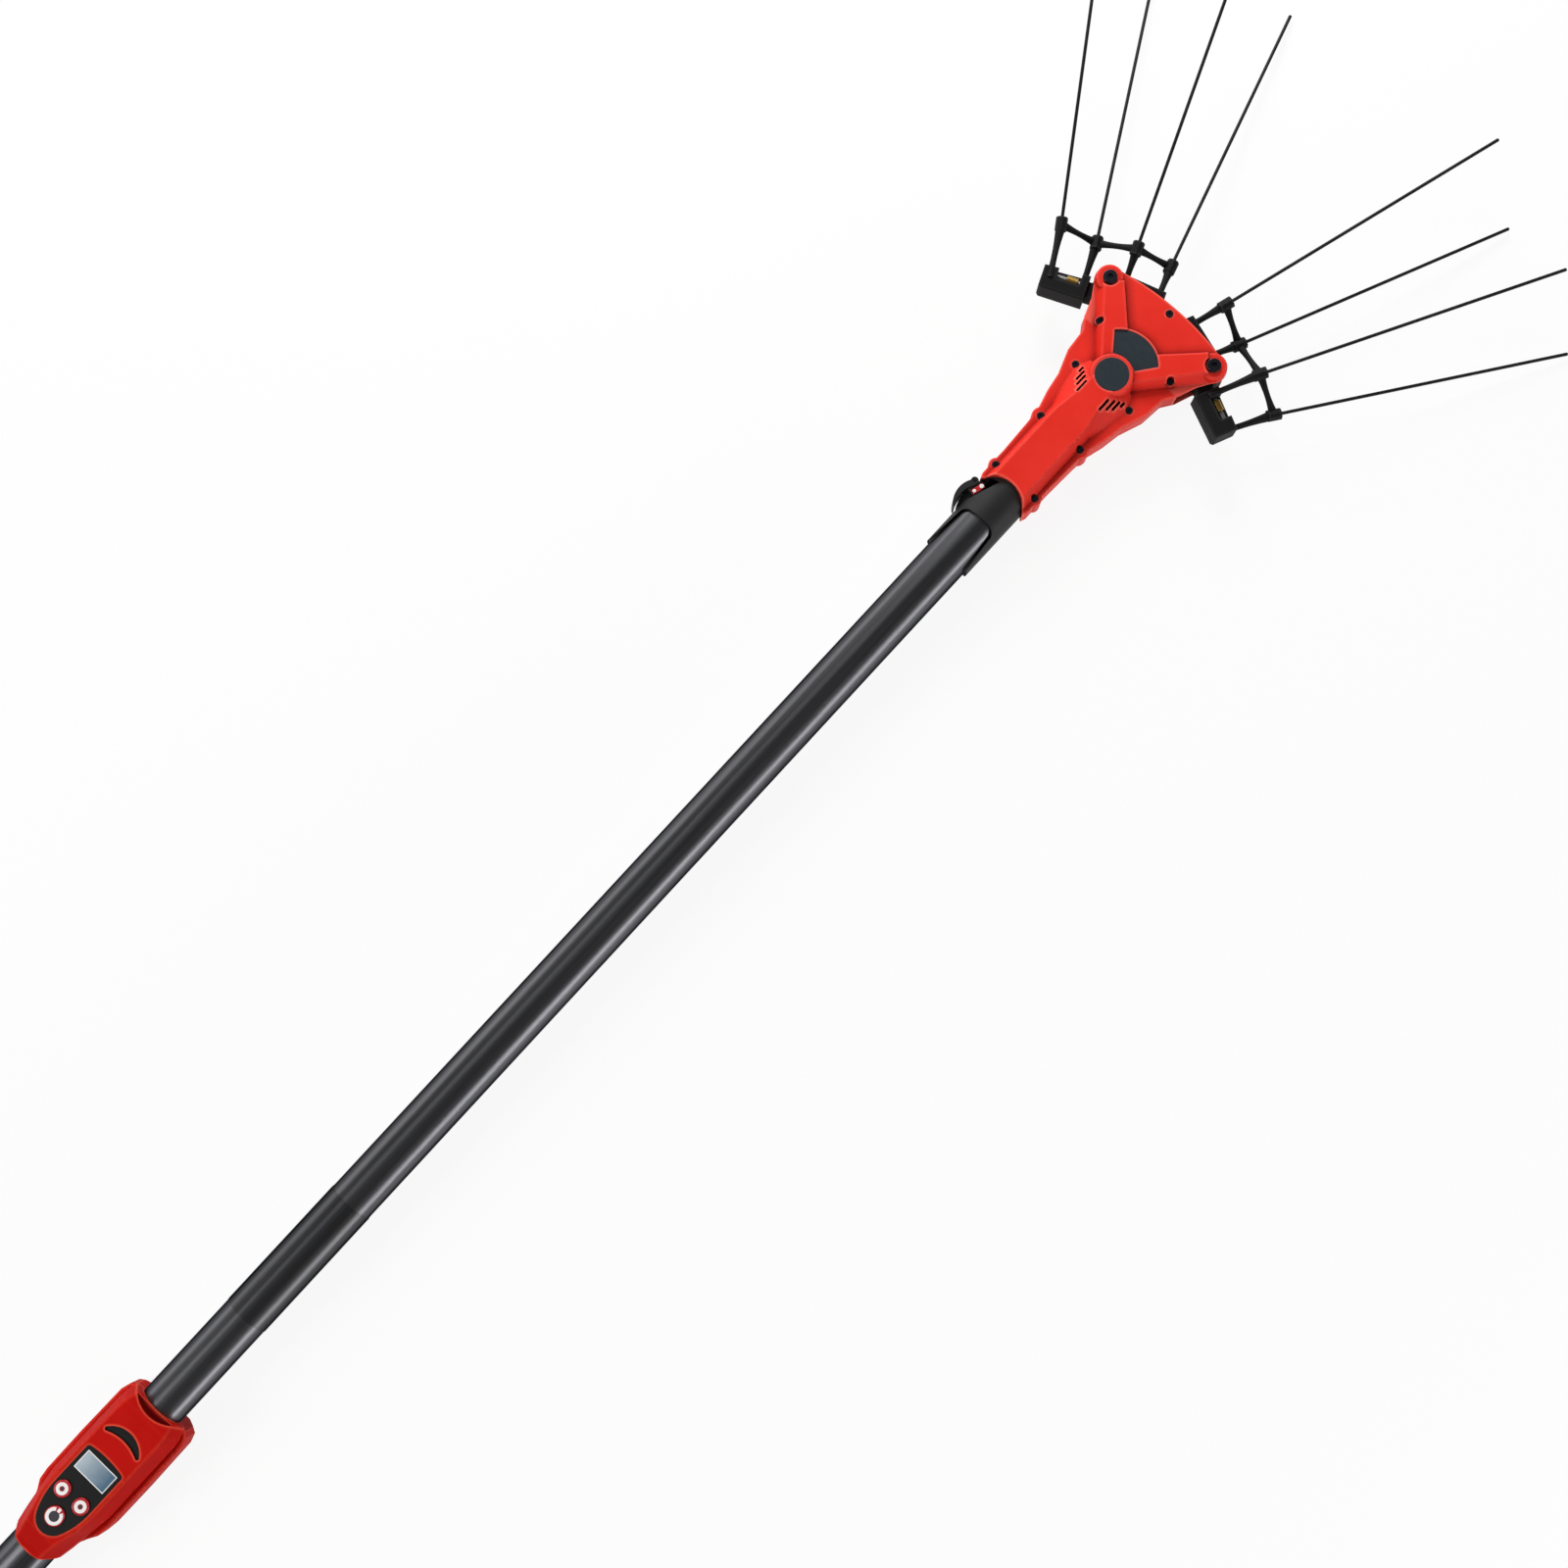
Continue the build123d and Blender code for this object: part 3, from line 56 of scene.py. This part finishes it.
# %% Camera
CAMERA_AT = (0.2144, 1.0126, 1.8164)
CAMERA_TURN = (0.13354, 0.01525, 0.74154)
LENS_MM, SENSOR_MM = 49.5, 36.0
camera_data = bpy.data.cameras.new("studio_camera")
camera_data.lens = LENS_MM
camera_data.sensor_width = SENSOR_MM
camera = bpy.data.objects.new("studio_camera", camera_data)
camera.location = CAMERA_AT
camera.rotation_euler = CAMERA_TURN
bpy.context.scene.collection.objects.link(camera)
bpy.context.scene.camera = camera
print("camera", camera.location[:], "lens", LENS_MM)

# %% [markdown]
# ## Helpers
# Colours are easiest to read as the hex values that a paint program shows, so one function turns
# them into the linear values that the shader wants. Another adds a node, sets it and links it, and
# short ones built on it give coordinates, a noise and a ramp between two tones. The last one
# dresses pieces in a finish.

# %% Helpers
MM = 0.001


def linear(hex_text):
    values = [int(hex_text[i:i + 2], 16) / 255 for i in (1, 3, 5)]
    return [v / 12.92 if v <= 0.04045 else ((v + 0.055) / 1.055) ** 2.4 for v in values] + [1.0]


def feed(tree, node, inputs):
    for socket, value in inputs.items():
        if isinstance(value, bpy.types.NodeSocket):
            tree.links.new(value, node.inputs[socket])
        else:
            node.inputs[socket].default_value = value


def put(tree, kind, inputs, **settings):
    node = tree.nodes.new(kind)
    for name, value in settings.items():
        setattr(node, name, value)
    feed(tree, node, inputs)
    return node


def coords(tree):
    return put(tree, "ShaderNodeTexCoord", {}).outputs["Object"]


def stretched(tree, across_mm, along_mm):
    across, along = 1 / (across_mm * MM), 1 / (along_mm * MM)
    scale = {"Vector": coords(tree), "Scale": (across, along, across)}
    return put(tree, "ShaderNodeMapping", scale).outputs["Vector"]


def noise(tree, place, scale, detail):
    inputs = {"Vector": place, "Scale": scale, "Detail": detail}
    return put(tree, "ShaderNodeTexNoise", inputs).outputs["Fac"]


def two_tone(tree, amount, start, shade, end, colour):
    ramp = put(tree, "ShaderNodeValToRGB", {"Fac": amount})
    for stop, at, hex_text in zip(ramp.color_ramp.elements, (start, end), (shade, colour)):
        stop.position = at
        stop.color = linear(hex_text)
    return ramp.outputs["Color"]


def new_finish(name):
    finish = bpy.data.materials.new(name)
    finish.use_nodes = True
    return finish, finish.node_tree, finish.node_tree.nodes["Principled BSDF"]


def dress(finish, *names):
    for name in names:
        nodes[name].data.materials.clear()
        nodes[name].data.materials.append(finish)
    print(finish.name, "on", len(names), "pieces")


# %% [markdown]
# ## Floor and light
# A product picture stands on white paper under soft lamps. A wide floor with a paper wall far
# around it, a dim white surround and five soft boxes give that, at a level where a colour shows
# about as it is written. The camera and every reflection see the paper as white, with the tool's
# shadow on it near the tool and full white farther off. The light that it throws back is only a
# mid grey's, so that the flanks keep their depth. A strong box above would lie on every upward
# face as a grey haze, so the one strip up there is weak, and only draws a faint line left of the
# pole's middle. One main box stands off each end, where the pole can't mirror it, and two low
# strips beside the pole draw the long lines on it, the right one the brighter.

# %% Floor
FLOOR_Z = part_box("control_base")[0].z - 0.2 * MM
FLOOR_SIZE, MIDDLE_Y = 60.0, 1.0
WALL_R, WALL_HIGH, WALL_SIDES = 28.0, 8.0, 96
PAPER_NEAR, PAPER_FAR = 1.6, 3.2
GLOW_NEAR, GLOW_FAR = 0.9, 1.0
BOUNCE_GREY, SEEN_WHITE, PAPER_ROUGH = 0.25, 0.92, 0.9
bpy.ops.mesh.primitive_plane_add(size=FLOOR_SIZE, location=(0.0, MIDDLE_Y, FLOOR_Z))
floor = bpy.context.object
floor.name = "studio_floor"
paper, tree, shader = new_finish("studio_paper_sweep")
rays = put(tree, "ShaderNodeLightPath", {})
seen = rays.outputs["Is Camera Ray"]
for kind in ("Is Glossy Ray", "Is Transmission Ray"):
    either = {0: seen, 1: rays.outputs[kind]}
    seen = put(tree, "ShaderNodeMath", either, operation="MAXIMUM").outputs[0]
tone = put(tree, "ShaderNodeMapRange", {
    "Value": seen, "To Min": BOUNCE_GREY, "To Max": SEEN_WHITE})
feed(tree, shader, {"Base Color": tone.outputs["Result"], "Roughness": PAPER_ROUGH,
                    "Specular IOR Level": 0.0})
glow = put(tree, "ShaderNodeEmission", {"Color": linear("#ffffff"), "Strength": 1.0})
away = put(tree, "ShaderNodeVectorMath", {0: coords(tree)}, operation="LENGTH")
white = put(tree, "ShaderNodeMapRange", {
    "Value": away.outputs["Value"], "From Min": PAPER_NEAR, "From Max": PAPER_FAR,
    "To Min": GLOW_NEAR, "To Max": GLOW_FAR})
share = put(tree, "ShaderNodeMath", {0: seen, 1: white.outputs["Result"]}, operation="MULTIPLY")
both = put(tree, "ShaderNodeMixShader", {
    0: share.outputs[0], 1: shader.outputs[0], 2: glow.outputs[0]})
feed(tree, tree.nodes["Material Output"], {"Surface": both.outputs[0]})
floor.data.materials.append(paper)
bpy.ops.mesh.primitive_cylinder_add(
    vertices=WALL_SIDES, radius=WALL_R, depth=WALL_HIGH, end_fill_type="NOTHING",
    location=(0.0, MIDDLE_Y, FLOOR_Z + WALL_HIGH / 2))
wall = bpy.context.object
wall.name = "studio_wall"
wall.data.materials.append(paper)
print("floor at", round(FLOOR_Z, 4), "and a wall", WALL_HIGH, "m high")

# %% Light
SURROUND = 0.18
world = bpy.data.worlds.new("white_surround")
world.use_nodes = True
feed(world.node_tree, world.node_tree.nodes["Background"], {
    "Color": linear("#ffffff"), "Strength": SURROUND})
bpy.context.scene.world = world
LAMPS = [  # name, place, aim on the floor, width, length, watts
    ("head_box", (-1.3, 2.7, 1.05), (0.0, 1.5), 0.8, 0.8, 37.0),
    ("handle_box", (-1.0, -1.2, 1.7), (0.0, 0.4), 1.0, 1.0, 32.0),
    ("right_strip", (1.9, 0.9, 0.34), (0.0, 0.9), 0.36, 3.4, 29.5),
    ("left_strip", (-1.9, 0.9, 0.45), (0.0, 0.9), 0.7, 3.4, 11.5),
    ("upper_strip", (-0.75, 0.9, 1.7), (0.0, 0.9), 0.3, 3.4, 3.6)]
for name, place, aim, wide, long, watts in LAMPS:
    lamp_data = bpy.data.lights.new(name, "AREA")
    lamp_data.shape = "RECTANGLE"
    lamp_data.size = wide
    lamp_data.size_y = long
    lamp_data.energy = watts
    lamp = bpy.data.objects.new(name, lamp_data)
    lamp.location = place
    towards = Vector((*aim, 0.0)) - Vector(place)
    lamp.rotation_euler = towards.to_track_quat("-Z", "X").to_euler()
    bpy.context.scene.collection.objects.link(lamp)
bpy.context.scene.view_settings.view_transform = "Standard"
print("lamps", [lamp[0] for lamp in LAMPS])

# %% [markdown]
# ## Moulded plastic
# The housing is ABS and the rakes are glass-filled nylon, both injection moulded. The mould gives
# ABS an even, slightly pebbled sheen, and glass fibre leaves nylon duller and faintly cloudy.
# One recipe covers both: a slow cloud in the colour, a fine pebble in the surface, a roughness
# that wanders a little, and a rounded edge that catches light, as no moulded edge is sharp.
# The real pebble is about 0.1 mm, too fine to show, so it is drawn several times as coarse.
# On the red housings and the rakes, the crests are painted paler, a painted highlight, and the
# corners darker, a painted shade. Occlusion finds both: rays into the solid come out soon near a
# crest, and rays out of it hit soon in a corner. The box's crests are blunt, so a narrower range of
# occlusion counts there.

# %% Moulded plastic
CLOUD_MM, CLOUD_LOW, CLOUD_HIGH = 35.0, 0.3, 0.7
SHEEN_SPREAD, PEBBLE_STRENGTH = 0.05, 0.12
CREST_HIGHLIGHT_MM, CORNER_SHADE_MM = 2.3, 10.0
OCCLUSION_RANGE, OCCLUSION_RANGE_ON_BLUNT = (0.6, 0.98), (0.78, 0.99)
EDGE_RAYS = 8


def moulded(name, colour, shade, roughness, pebble_mm, depth_mm, edge_mm, ior=1.53, shine=0.5,
            crest_highlight=None, corner=None, occlusion_range=OCCLUSION_RANGE):
    finish, tree, shader = new_finish(name)
    place = coords(tree)
    cloud = noise(tree, place, 1 / (CLOUD_MM * MM), 4.0)
    paint = two_tone(tree, cloud, CLOUD_LOW, shade, CLOUD_HIGH, colour)
    sheen = put(tree, "ShaderNodeMapRange", {
        "Value": cloud, "From Min": CLOUD_LOW, "From Max": CLOUD_HIGH,
        "To Min": roughness - SHEEN_SPREAD, "To Max": roughness + SHEEN_SPREAD})
    pebble = noise(tree, place, 1 / (pebble_mm * MM), 2.0)
    edge = put(tree, "ShaderNodeBevel", {"Radius": edge_mm * MM}, samples=EDGE_RAYS)
    bump = put(tree, "ShaderNodeBump", {
        "Strength": PEBBLE_STRENGTH, "Distance": depth_mm * MM,
        "Height": pebble, "Normal": edge.outputs["Normal"]})
    # Painted highlight on the crests and painted shade in the corners, mixed into the colour by
    # occlusion
    if crest_highlight:
        for painted_tone, inside, reach_mm in ((crest_highlight, True, CREST_HIGHLIGHT_MM), (corner, False, CORNER_SHADE_MM)):
            near = put(tree, "ShaderNodeAmbientOcclusion", {"Distance": reach_mm * MM},
                       samples=EDGE_RAYS, inside=inside, only_local=True)
            painted_share = put(tree, "ShaderNodeMapRange", {
                "Value": near.outputs["AO"], "From Min": occlusion_range[0], "From Max": occlusion_range[1],
                "To Min": 1.0, "To Max": 0.0})
            layers = {0: painted_share.outputs["Result"], 6: paint, 7: linear(painted_tone)}
            paint = put(tree, "ShaderNodeMix", layers, data_type="RGBA").outputs[2]
    feed(tree, shader, {"Base Color": paint, "Roughness": sheen.outputs["Result"],
                        "Normal": bump.outputs["Normal"], "IOR": ior,
                        "Specular IOR Level": shine})
    return finish


# The crest and corner tones below are a painted highlight and a painted shade
head_red = moulded("abs_red_satin", "#ed3327", "#e42b1f", 0.48, 0.9, 0.05, 1.0, shine=0.1,
                   crest_highlight="#fb6154", corner="#8c0f0a")
box_red = moulded("abs_red_gloss", "#c81812", "#bc140f", 0.5, 1.2, 0.03, 0.5, shine=0.02,
                  crest_highlight="#e64c38", corner="#6a0806", occlusion_range=OCCLUSION_RANGE_ON_BLUNT)
nylon = moulded("glass_filled_nylon_black", "#101011", "#0c0c0d", 0.68, 0.8, 0.06, 0.5,
                shine=0.14, crest_highlight="#29292b", corner="#050505")
sleeve_black = moulded("nylon_black_satin", "#272728", "#202021", 0.56, 0.8, 0.04, 0.5, shine=0.2)
fascia_black = moulded("polycarbonate_charcoal", "#0f1110", "#0b0d0c", 0.5, 0.6, 0.03, 0.3,
                       ior=1.58, shine=0.16)
dress(head_red, "head_front_shell", "head_back_shell")
dress(box_red, "control_base", "control_cover")
dress(nylon, "left_rake_frame", "right_rake_frame", "butt_cap")
dress(sleeve_black, "neck_sleeve", "lock_lever")
dress(fascia_black, "control_fascia", "crescent_inlay", "power_socket")

# %% [markdown]
# ## Buttons, pad and rivets
# Small glossy red mouldings: the three buttons, and the pad on the lever at the neck. Two rivets
# hold the pad, coloured white as a painted highlight for the glints on them.

# %% Buttons, pad and rivets
key_red = moulded("abs_red_button", "#c8202a", "#bd1b25", 0.22, 0.6, 0.02, 0.4)
# The rivets' white is a painted highlight for their glints
painted_glint_white = moulded("painted_glint_white", "#f4f3f0", "#eae9e5", 0.4, 0.5, 0.02, 0.3)
dress(key_red, "button_minus", "button_plus", "button_power", "lever_pad")
dress(painted_glint_white, "pad_rivets")

# %% [markdown]
# ## Pole
# Drawn aluminium tube, anodised black. Drawing pulls faint straight lines along the tube, and the
# dyed oxide has a satin shine. A noise stretched along the pole gives the lines in tint and shine;
# they are really hair fine and are drawn a few millimetres wide, so that they still show from
# afar. It is a metal with a dark tint, and a second tint dims it towards the tube's edges, where
# the dye takes up more of the light. The band above the control box is a shade darker.

# %% Pole
LINE_MM, LINE_LEN_MM = 2.4, 260.0
POLE_SMOOTH, POLE_DULL = 0.31, 0.35
EDGE_TINT = "#6c6c6e"


def drawn_tube(name, colour, shade):
    finish, tree, shader = new_finish(name)
    lines = noise(tree, stretched(tree, LINE_MM, LINE_LEN_MM), 1.0, 1.0)
    sheen = put(tree, "ShaderNodeMapRange", {
        "Value": lines, "To Min": POLE_SMOOTH, "To Max": POLE_DULL})
    feed(tree, shader, {"Base Color": two_tone(tree, lines, 0.35, shade, 0.65, colour),
                        "Roughness": sheen.outputs["Result"], "Metallic": 1.0,
                        "Specular Tint": linear(EDGE_TINT)})
    return finish


dress(drawn_tube("anodised_aluminium_black", "#5e5e61", "#545457"), "pole_tube")
dress(drawn_tube("anodised_band_black", "#525254", "#49494b"), "pole_band")

# %% [markdown]
# ## Rods
# Pultruded glass fibre in black resin: the fibres run the length of the rod and show as fine grey
# streaks under a hard shine. Each rake spreads its rods in a fan, so a plain noise with a long
# stretch along the pole is close enough to the way the fibres run.

# %% Rods
FIBRE_MM, FIBRE_LEN_MM, FIBRE_DEEP_MM = 0.5, 30.0, 0.03
rod_black, tree, shader = new_finish("pultruded_glass_fibre_black")
streak = noise(tree, stretched(tree, FIBRE_MM, FIBRE_LEN_MM), 1.0, 2.0)
bump = put(tree, "ShaderNodeBump", {
    "Strength": 0.2, "Distance": FIBRE_DEEP_MM * MM, "Height": streak})
feed(tree, shader, {"Base Color": two_tone(tree, streak, 0.4, "#070708", 0.75, "#111113"),
                    "Normal": bump.outputs["Normal"], "Roughness": 0.48, "IOR": 1.55,
                    "Specular IOR Level": 0.15})
dress(rod_black, *[f"{side}_tine_{i}" for side in ("left", "right") for i in (1, 2, 3, 4)])

# %% [markdown]
# ## Metals
# Screws, corner bolts with their nuts and the lever's pin are blackened steel. The clamp bolts and
# the drive's crank, yoke and pins are bright machined steel, the clamp sleeves and bushes turned
# brass. Each is a metal with its own tint, with the tool marks of its making as a fine noise in
# roughness and bump.

# %% Metals
MARK_SPREAD, MARK_DEEP_MM = 0.08, 0.03
METAL_EDGE_MM, METAL_EDGE_RAYS = 0.3, 4


def metal(name, colour, shade, roughness, mark_mm):
    finish, tree, shader = new_finish(name)
    marks = noise(tree, coords(tree), 1 / (mark_mm * MM), 4.0)
    sheen = put(tree, "ShaderNodeMapRange", {
        "Value": marks, "To Min": roughness - MARK_SPREAD, "To Max": roughness + MARK_SPREAD})
    edge = put(tree, "ShaderNodeBevel", {"Radius": METAL_EDGE_MM * MM}, samples=METAL_EDGE_RAYS)
    bump = put(tree, "ShaderNodeBump", {
        "Strength": 0.15, "Distance": MARK_DEEP_MM * MM, "Height": marks,
        "Normal": edge.outputs["Normal"]})
    feed(tree, shader, {"Base Color": two_tone(tree, marks, 0.35, shade, 0.65, colour),
                        "Roughness": sheen.outputs["Result"], "Normal": bump.outputs["Normal"],
                        "Metallic": 1.0})
    return finish


black_steel = metal("blackened_steel", "#34353c", "#292a31", 0.36, 0.5)
bright_steel = metal("machined_steel", "#8f8e8c", "#7b7a78", 0.45, 0.4)
brass = metal("turned_brass", "#b08c48", "#94743a", 0.34, 0.4)
motor_can = metal("zinc_plated_motor_can", "#9a9b9e", "#85868a", 0.35, 1.2)
die_cast = metal("die_cast_aluminium", "#a9abae", "#94969a", 0.5, 0.8)
dress(black_steel, "housing_screws", "control_screws", "pivot_bolts", "pivot_nuts", "lever_pin")
dress(bright_steel, "drive_crank", "drive_yoke", "yoke_pins", "left_clamp_bolt", "right_clamp_bolt")
dress(brass, "left_clamp_sleeve", "right_clamp_sleeve", "left_bush", "right_bush")
dress(motor_can, "drive_motor")
dress(die_cast, "gear_case")

# %% [markdown]
# ## Plates
# The shield and the round badge are thin dark slate plates, left bare here: etched aluminium with
# a soft grain that runs one way.

# %% Plates
GRAIN_LEN_MM, GRAIN_MM, GRAIN_DEEP_MM = 6.0, 0.5, 0.03
slate, tree, shader = new_finish("etched_plate_slate")
grain = noise(tree, stretched(tree, GRAIN_LEN_MM, GRAIN_MM), 1.0, 3.0)
bump = put(tree, "ShaderNodeBump", {
    "Strength": 0.15, "Distance": GRAIN_DEEP_MM * MM, "Height": grain})
feed(tree, shader, {"Base Color": two_tone(tree, grain, 0.3, "#1c262c", 0.7, "#253138"),
                    "Normal": bump.outputs["Normal"], "Roughness": 0.45,
                    "Specular IOR Level": 0.3})
dress(slate, "shield_plate", "round_badge")

# %% [markdown]
# ## Display
# A liquid crystal display behind a clear window: blue grey under a glossy coat, with a painted
# reflection that makes it paler towards one side: a ramp across the panel, set by the panel's own
# box.

# %% Display
PATCH_MM, PATCH_SHARE = 9.0, 0.25
low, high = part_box("display_panel")
crystal, tree, shader = new_finish("liquid_crystal_window")
place = coords(tree)
across = put(tree, "ShaderNodeSeparateXYZ", {"Vector": place})
# Painted reflection: pale at one side of the panel and darker across it, with soft noise patches
ramp = put(tree, "ShaderNodeMapRange", {
    "Value": across.outputs["X"], "From Min": low.x, "From Max": high.x})
cloud = noise(tree, place, 1 / (PATCH_MM * MM), 1.0)
painted_reflection = put(tree, "ShaderNodeMath", {0: cloud, 1: PATCH_SHARE, 2: ramp.outputs["Result"]},
             operation="MULTIPLY_ADD")
feed(tree, shader, {
    "Base Color": two_tone(tree, painted_reflection.outputs[0], 0.1, "#c3d0d8", 1.0, "#54748b"),
    "Roughness": 0.18, "Coat Weight": 0.6, "Coat Roughness": 0.05})
dress(crystal, "display_panel")

# %% [markdown]
# ## Board and cable
# Pieces that no view shows still get their own finish: a solder-masked board, and the rubber
# jacket of the cable inside the pole.

# %% Board and cable
board_green = moulded("solder_mask_green", "#1d6b3c", "#185c33", 0.35, 1.5, 0.02, 0.2)
jacket = moulded("rubber_jacket_black", "#1c1c1c", "#161616", 0.7, 0.4, 0.05, 0.3, ior=1.52)
dress(board_green, "circuit_board")
dress(jacket, "pole_cable")

# %% [markdown]
# ## Sleeve arms
# Two arms of the neck sleeve run on along the pole, broad at the sleeve's mouth and narrowing to
# the tip. The solid has only their straight backbone, so the broad part is added here: a circle
# drawn out into a tube, given its wall by Solidify, and parted into two by a wedge that widens
# towards the tip and has its corners at the mouth rounded.

# %% Sleeve tube
ARM_R, ARM_WALL, ARM_SIDES = 22.45 * MM, 2.3 * MM, 96
ARM_LEN = 41.0 * MM
tip_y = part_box("neck_sleeve")[0].y
bpy.ops.object.select_all(action="DESELECT")
bpy.ops.mesh.primitive_circle_add(vertices=ARM_SIDES, radius=ARM_R, location=(0.0, tip_y, 0.0),
                                  rotation=(pi / 2, 0.0, 0.0))
arms = bpy.context.object
arms.name = "sleeve_arms"
bpy.ops.object.transform_apply(location=True, rotation=True, scale=True)
bpy.ops.object.mode_set(mode="EDIT")
bpy.ops.mesh.select_all(action="SELECT")
bpy.ops.mesh.extrude_region_move(TRANSFORM_OT_translate={"value": (0.0, ARM_LEN, 0.0)})
bpy.ops.mesh.select_all(action="SELECT")
bpy.ops.mesh.normals_make_consistent(inside=False)
bpy.ops.object.mode_set(mode="OBJECT")
thicken = arms.modifiers.new("wall", "SOLIDIFY")
thicken.thickness = ARM_WALL
thicken.offset = -1.0
bpy.ops.object.modifier_apply(modifier=thicken.name)
print("tube", len(arms.data.polygons), "faces")

# %% Wedge
MOUTH_LIP, MOUTH_ROUND, ROUND_STEPS = 0.3 * MM, 6.0 * MM, 8
GAP_AT_MOUTH, GAP_AT_TIP = 17.0 * MM, 20.7 * MM  # half the gap between the arms
wedge_y = tip_y + ARM_LEN / 2 - MOUTH_LIP
bpy.ops.mesh.primitive_cube_add(size=1.0, location=(0.0, wedge_y, 0.0))
wedge = bpy.context.object
bpy.ops.transform.resize(value=(2 * GAP_AT_MOUTH, ARM_LEN, 4 * ARM_R))
bpy.ops.object.transform_apply(location=True, rotation=True, scale=True)
bpy.ops.object.mode_set(mode="EDIT")
bpy.ops.mesh.select_mode(type="EDGE")
bpy.ops.mesh.select_all(action="DESELECT")
block = bmesh.from_edit_mesh(wedge.data)
for corner in block.verts:
    if corner.co.y < tip_y:
        corner.co.x *= GAP_AT_TIP / GAP_AT_MOUTH
for edge in block.edges:
    one, other = edge.verts
    at_mouth = one.co.y > tip_y and other.co.y > tip_y
    edge.select = at_mouth and one.co.z * other.co.z < 0.0
bmesh.update_edit_mesh(wedge.data)
bpy.ops.mesh.bevel(offset=MOUTH_ROUND, segments=ROUND_STEPS, affect="EDGES")
bpy.ops.object.mode_set(mode="OBJECT")
print("wedge", len(wedge.data.polygons), "faces")

# %% Part the arms
bpy.ops.object.select_all(action="DESELECT")
arms.select_set(True)
bpy.context.view_layer.objects.active = arms
parting = arms.modifiers.new("parting", "BOOLEAN")
parting.operation = "DIFFERENCE"
parting.object = wedge
bpy.ops.object.modifier_apply(modifier=parting.name)
bpy.data.objects.remove(wedge)
bpy.ops.object.shade_smooth_by_angle(angle=pi / 6)
arms.data.materials.append(sleeve_black)
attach(arms, "tool")
print("sleeve_arms", len(arms.data.polygons), "faces")

# %% [markdown]
# ## Printed marks
# The buttons carry white screen-printed signs: a ring with a dark dot on each small button, and
# a power sign, an open ring with a short bar in the gap, on the large one. The display has a pale
# border. Each mark is a flat disc or plate, inset to a rim in edit mode and extruded by the
# thickness of the ink, which is drawn a little thick so that it stands clear of the surface.

# %% Ink
white_ink = moulded("screen_print_white", "#fdfcfb", "#f6f5f3", 0.5, 0.5, 0.02, 0.05)
dark_ink = moulded("screen_print_dark", "#2a2230", "#241d29", 0.5, 0.5, 0.02, 0.05)
INK = 0.14 * MM
DISC_SIDES = 64


def top_of(node):
    low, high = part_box(node)
    return Vector(((low.x + high.x) / 2, (low.y + high.y) / 2, high.z))


def print_mark(name, rim, ink, body, gap=0.0):
    mark = bpy.context.object
    mark.name = name
    centre = mark.location.copy()
    bpy.ops.object.transform_apply(location=True, rotation=True, scale=True)
    bpy.ops.object.mode_set(mode="EDIT")
    bpy.ops.mesh.select_mode(type="FACE")
    bpy.ops.mesh.select_all(action="SELECT")
    if rim:
        bpy.ops.mesh.inset(thickness=rim)
        sheet = bmesh.from_edit_mesh(mark.data)
        for face in sheet.faces:
            away = face.calc_center_median() - centre
            face.select = away.length < rim / 4 or (abs(away.x) < gap / 2 and away.y > 0.0)
        bmesh.update_edit_mesh(mark.data)
        bpy.ops.mesh.delete(type="FACE")
        bpy.ops.mesh.select_all(action="SELECT")
    bpy.ops.mesh.extrude_region_move(TRANSFORM_OT_translate={"value": (0.0, 0.0, INK)})
    bpy.ops.mesh.select_all(action="SELECT")
    bpy.ops.mesh.normals_make_consistent(inside=False)
    bpy.ops.object.mode_set(mode="OBJECT")
    mark.data.materials.append(ink)
    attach(mark, body)
    print(name, len(mark.data.polygons), "faces")


def disc(radius, at):
    bpy.ops.object.select_all(action="DESELECT")
    bpy.ops.mesh.primitive_circle_add(vertices=DISC_SIDES, radius=radius, fill_type="NGON",
                                      location=at)


def plate(wide, high, at):
    bpy.ops.object.select_all(action="DESELECT")
    bpy.ops.mesh.primitive_plane_add(size=1.0, location=at)
    bpy.ops.transform.resize(value=(wide, high, 1.0))


# %% Rings and dots
RING_R, RING_RIM, DOT_R = 5.1 * MM, 2.9 * MM, 1.5 * MM
for key in ("minus", "plus"):
    disc(RING_R, top_of("button_" + key))
    print_mark(key + "_ring", RING_RIM, white_ink, key + "_key")
    disc(DOT_R, top_of("button_" + key))
    print_mark(key + "_dot", 0.0, dark_ink, key + "_key")

# %% Power sign
POWER_R, POWER_RIM, POWER_GAP, POWER_CENTRE_R = 7.2 * MM, 2.8 * MM, 5.6 * MM, 4.2 * MM
BAR_WIDE, BAR_HIGH, BAR_UP = 2.6 * MM, 3.4 * MM, 6.0 * MM
middle = top_of("button_power")
disc(POWER_R, middle)
print_mark("power_ring", POWER_RIM, white_ink, "power_key", gap=POWER_GAP)
disc(POWER_CENTRE_R, middle)
print_mark("power_centre", 0.0, dark_ink, "power_key")
plate(BAR_WIDE, BAR_HIGH, middle + Vector((0.0, BAR_UP, 0.0)))
print_mark("power_bar", 0.0, white_ink, "power_key")

# %% Display border
BORDER_INSET, BORDER_RIM = 0.4 * MM, 0.8 * MM
low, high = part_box("display_panel")
plate(high.x - low.x - BORDER_INSET, high.y - low.y - BORDER_INSET, top_of("display_panel"))
print_mark("display_border", BORDER_RIM, white_ink, "tool")
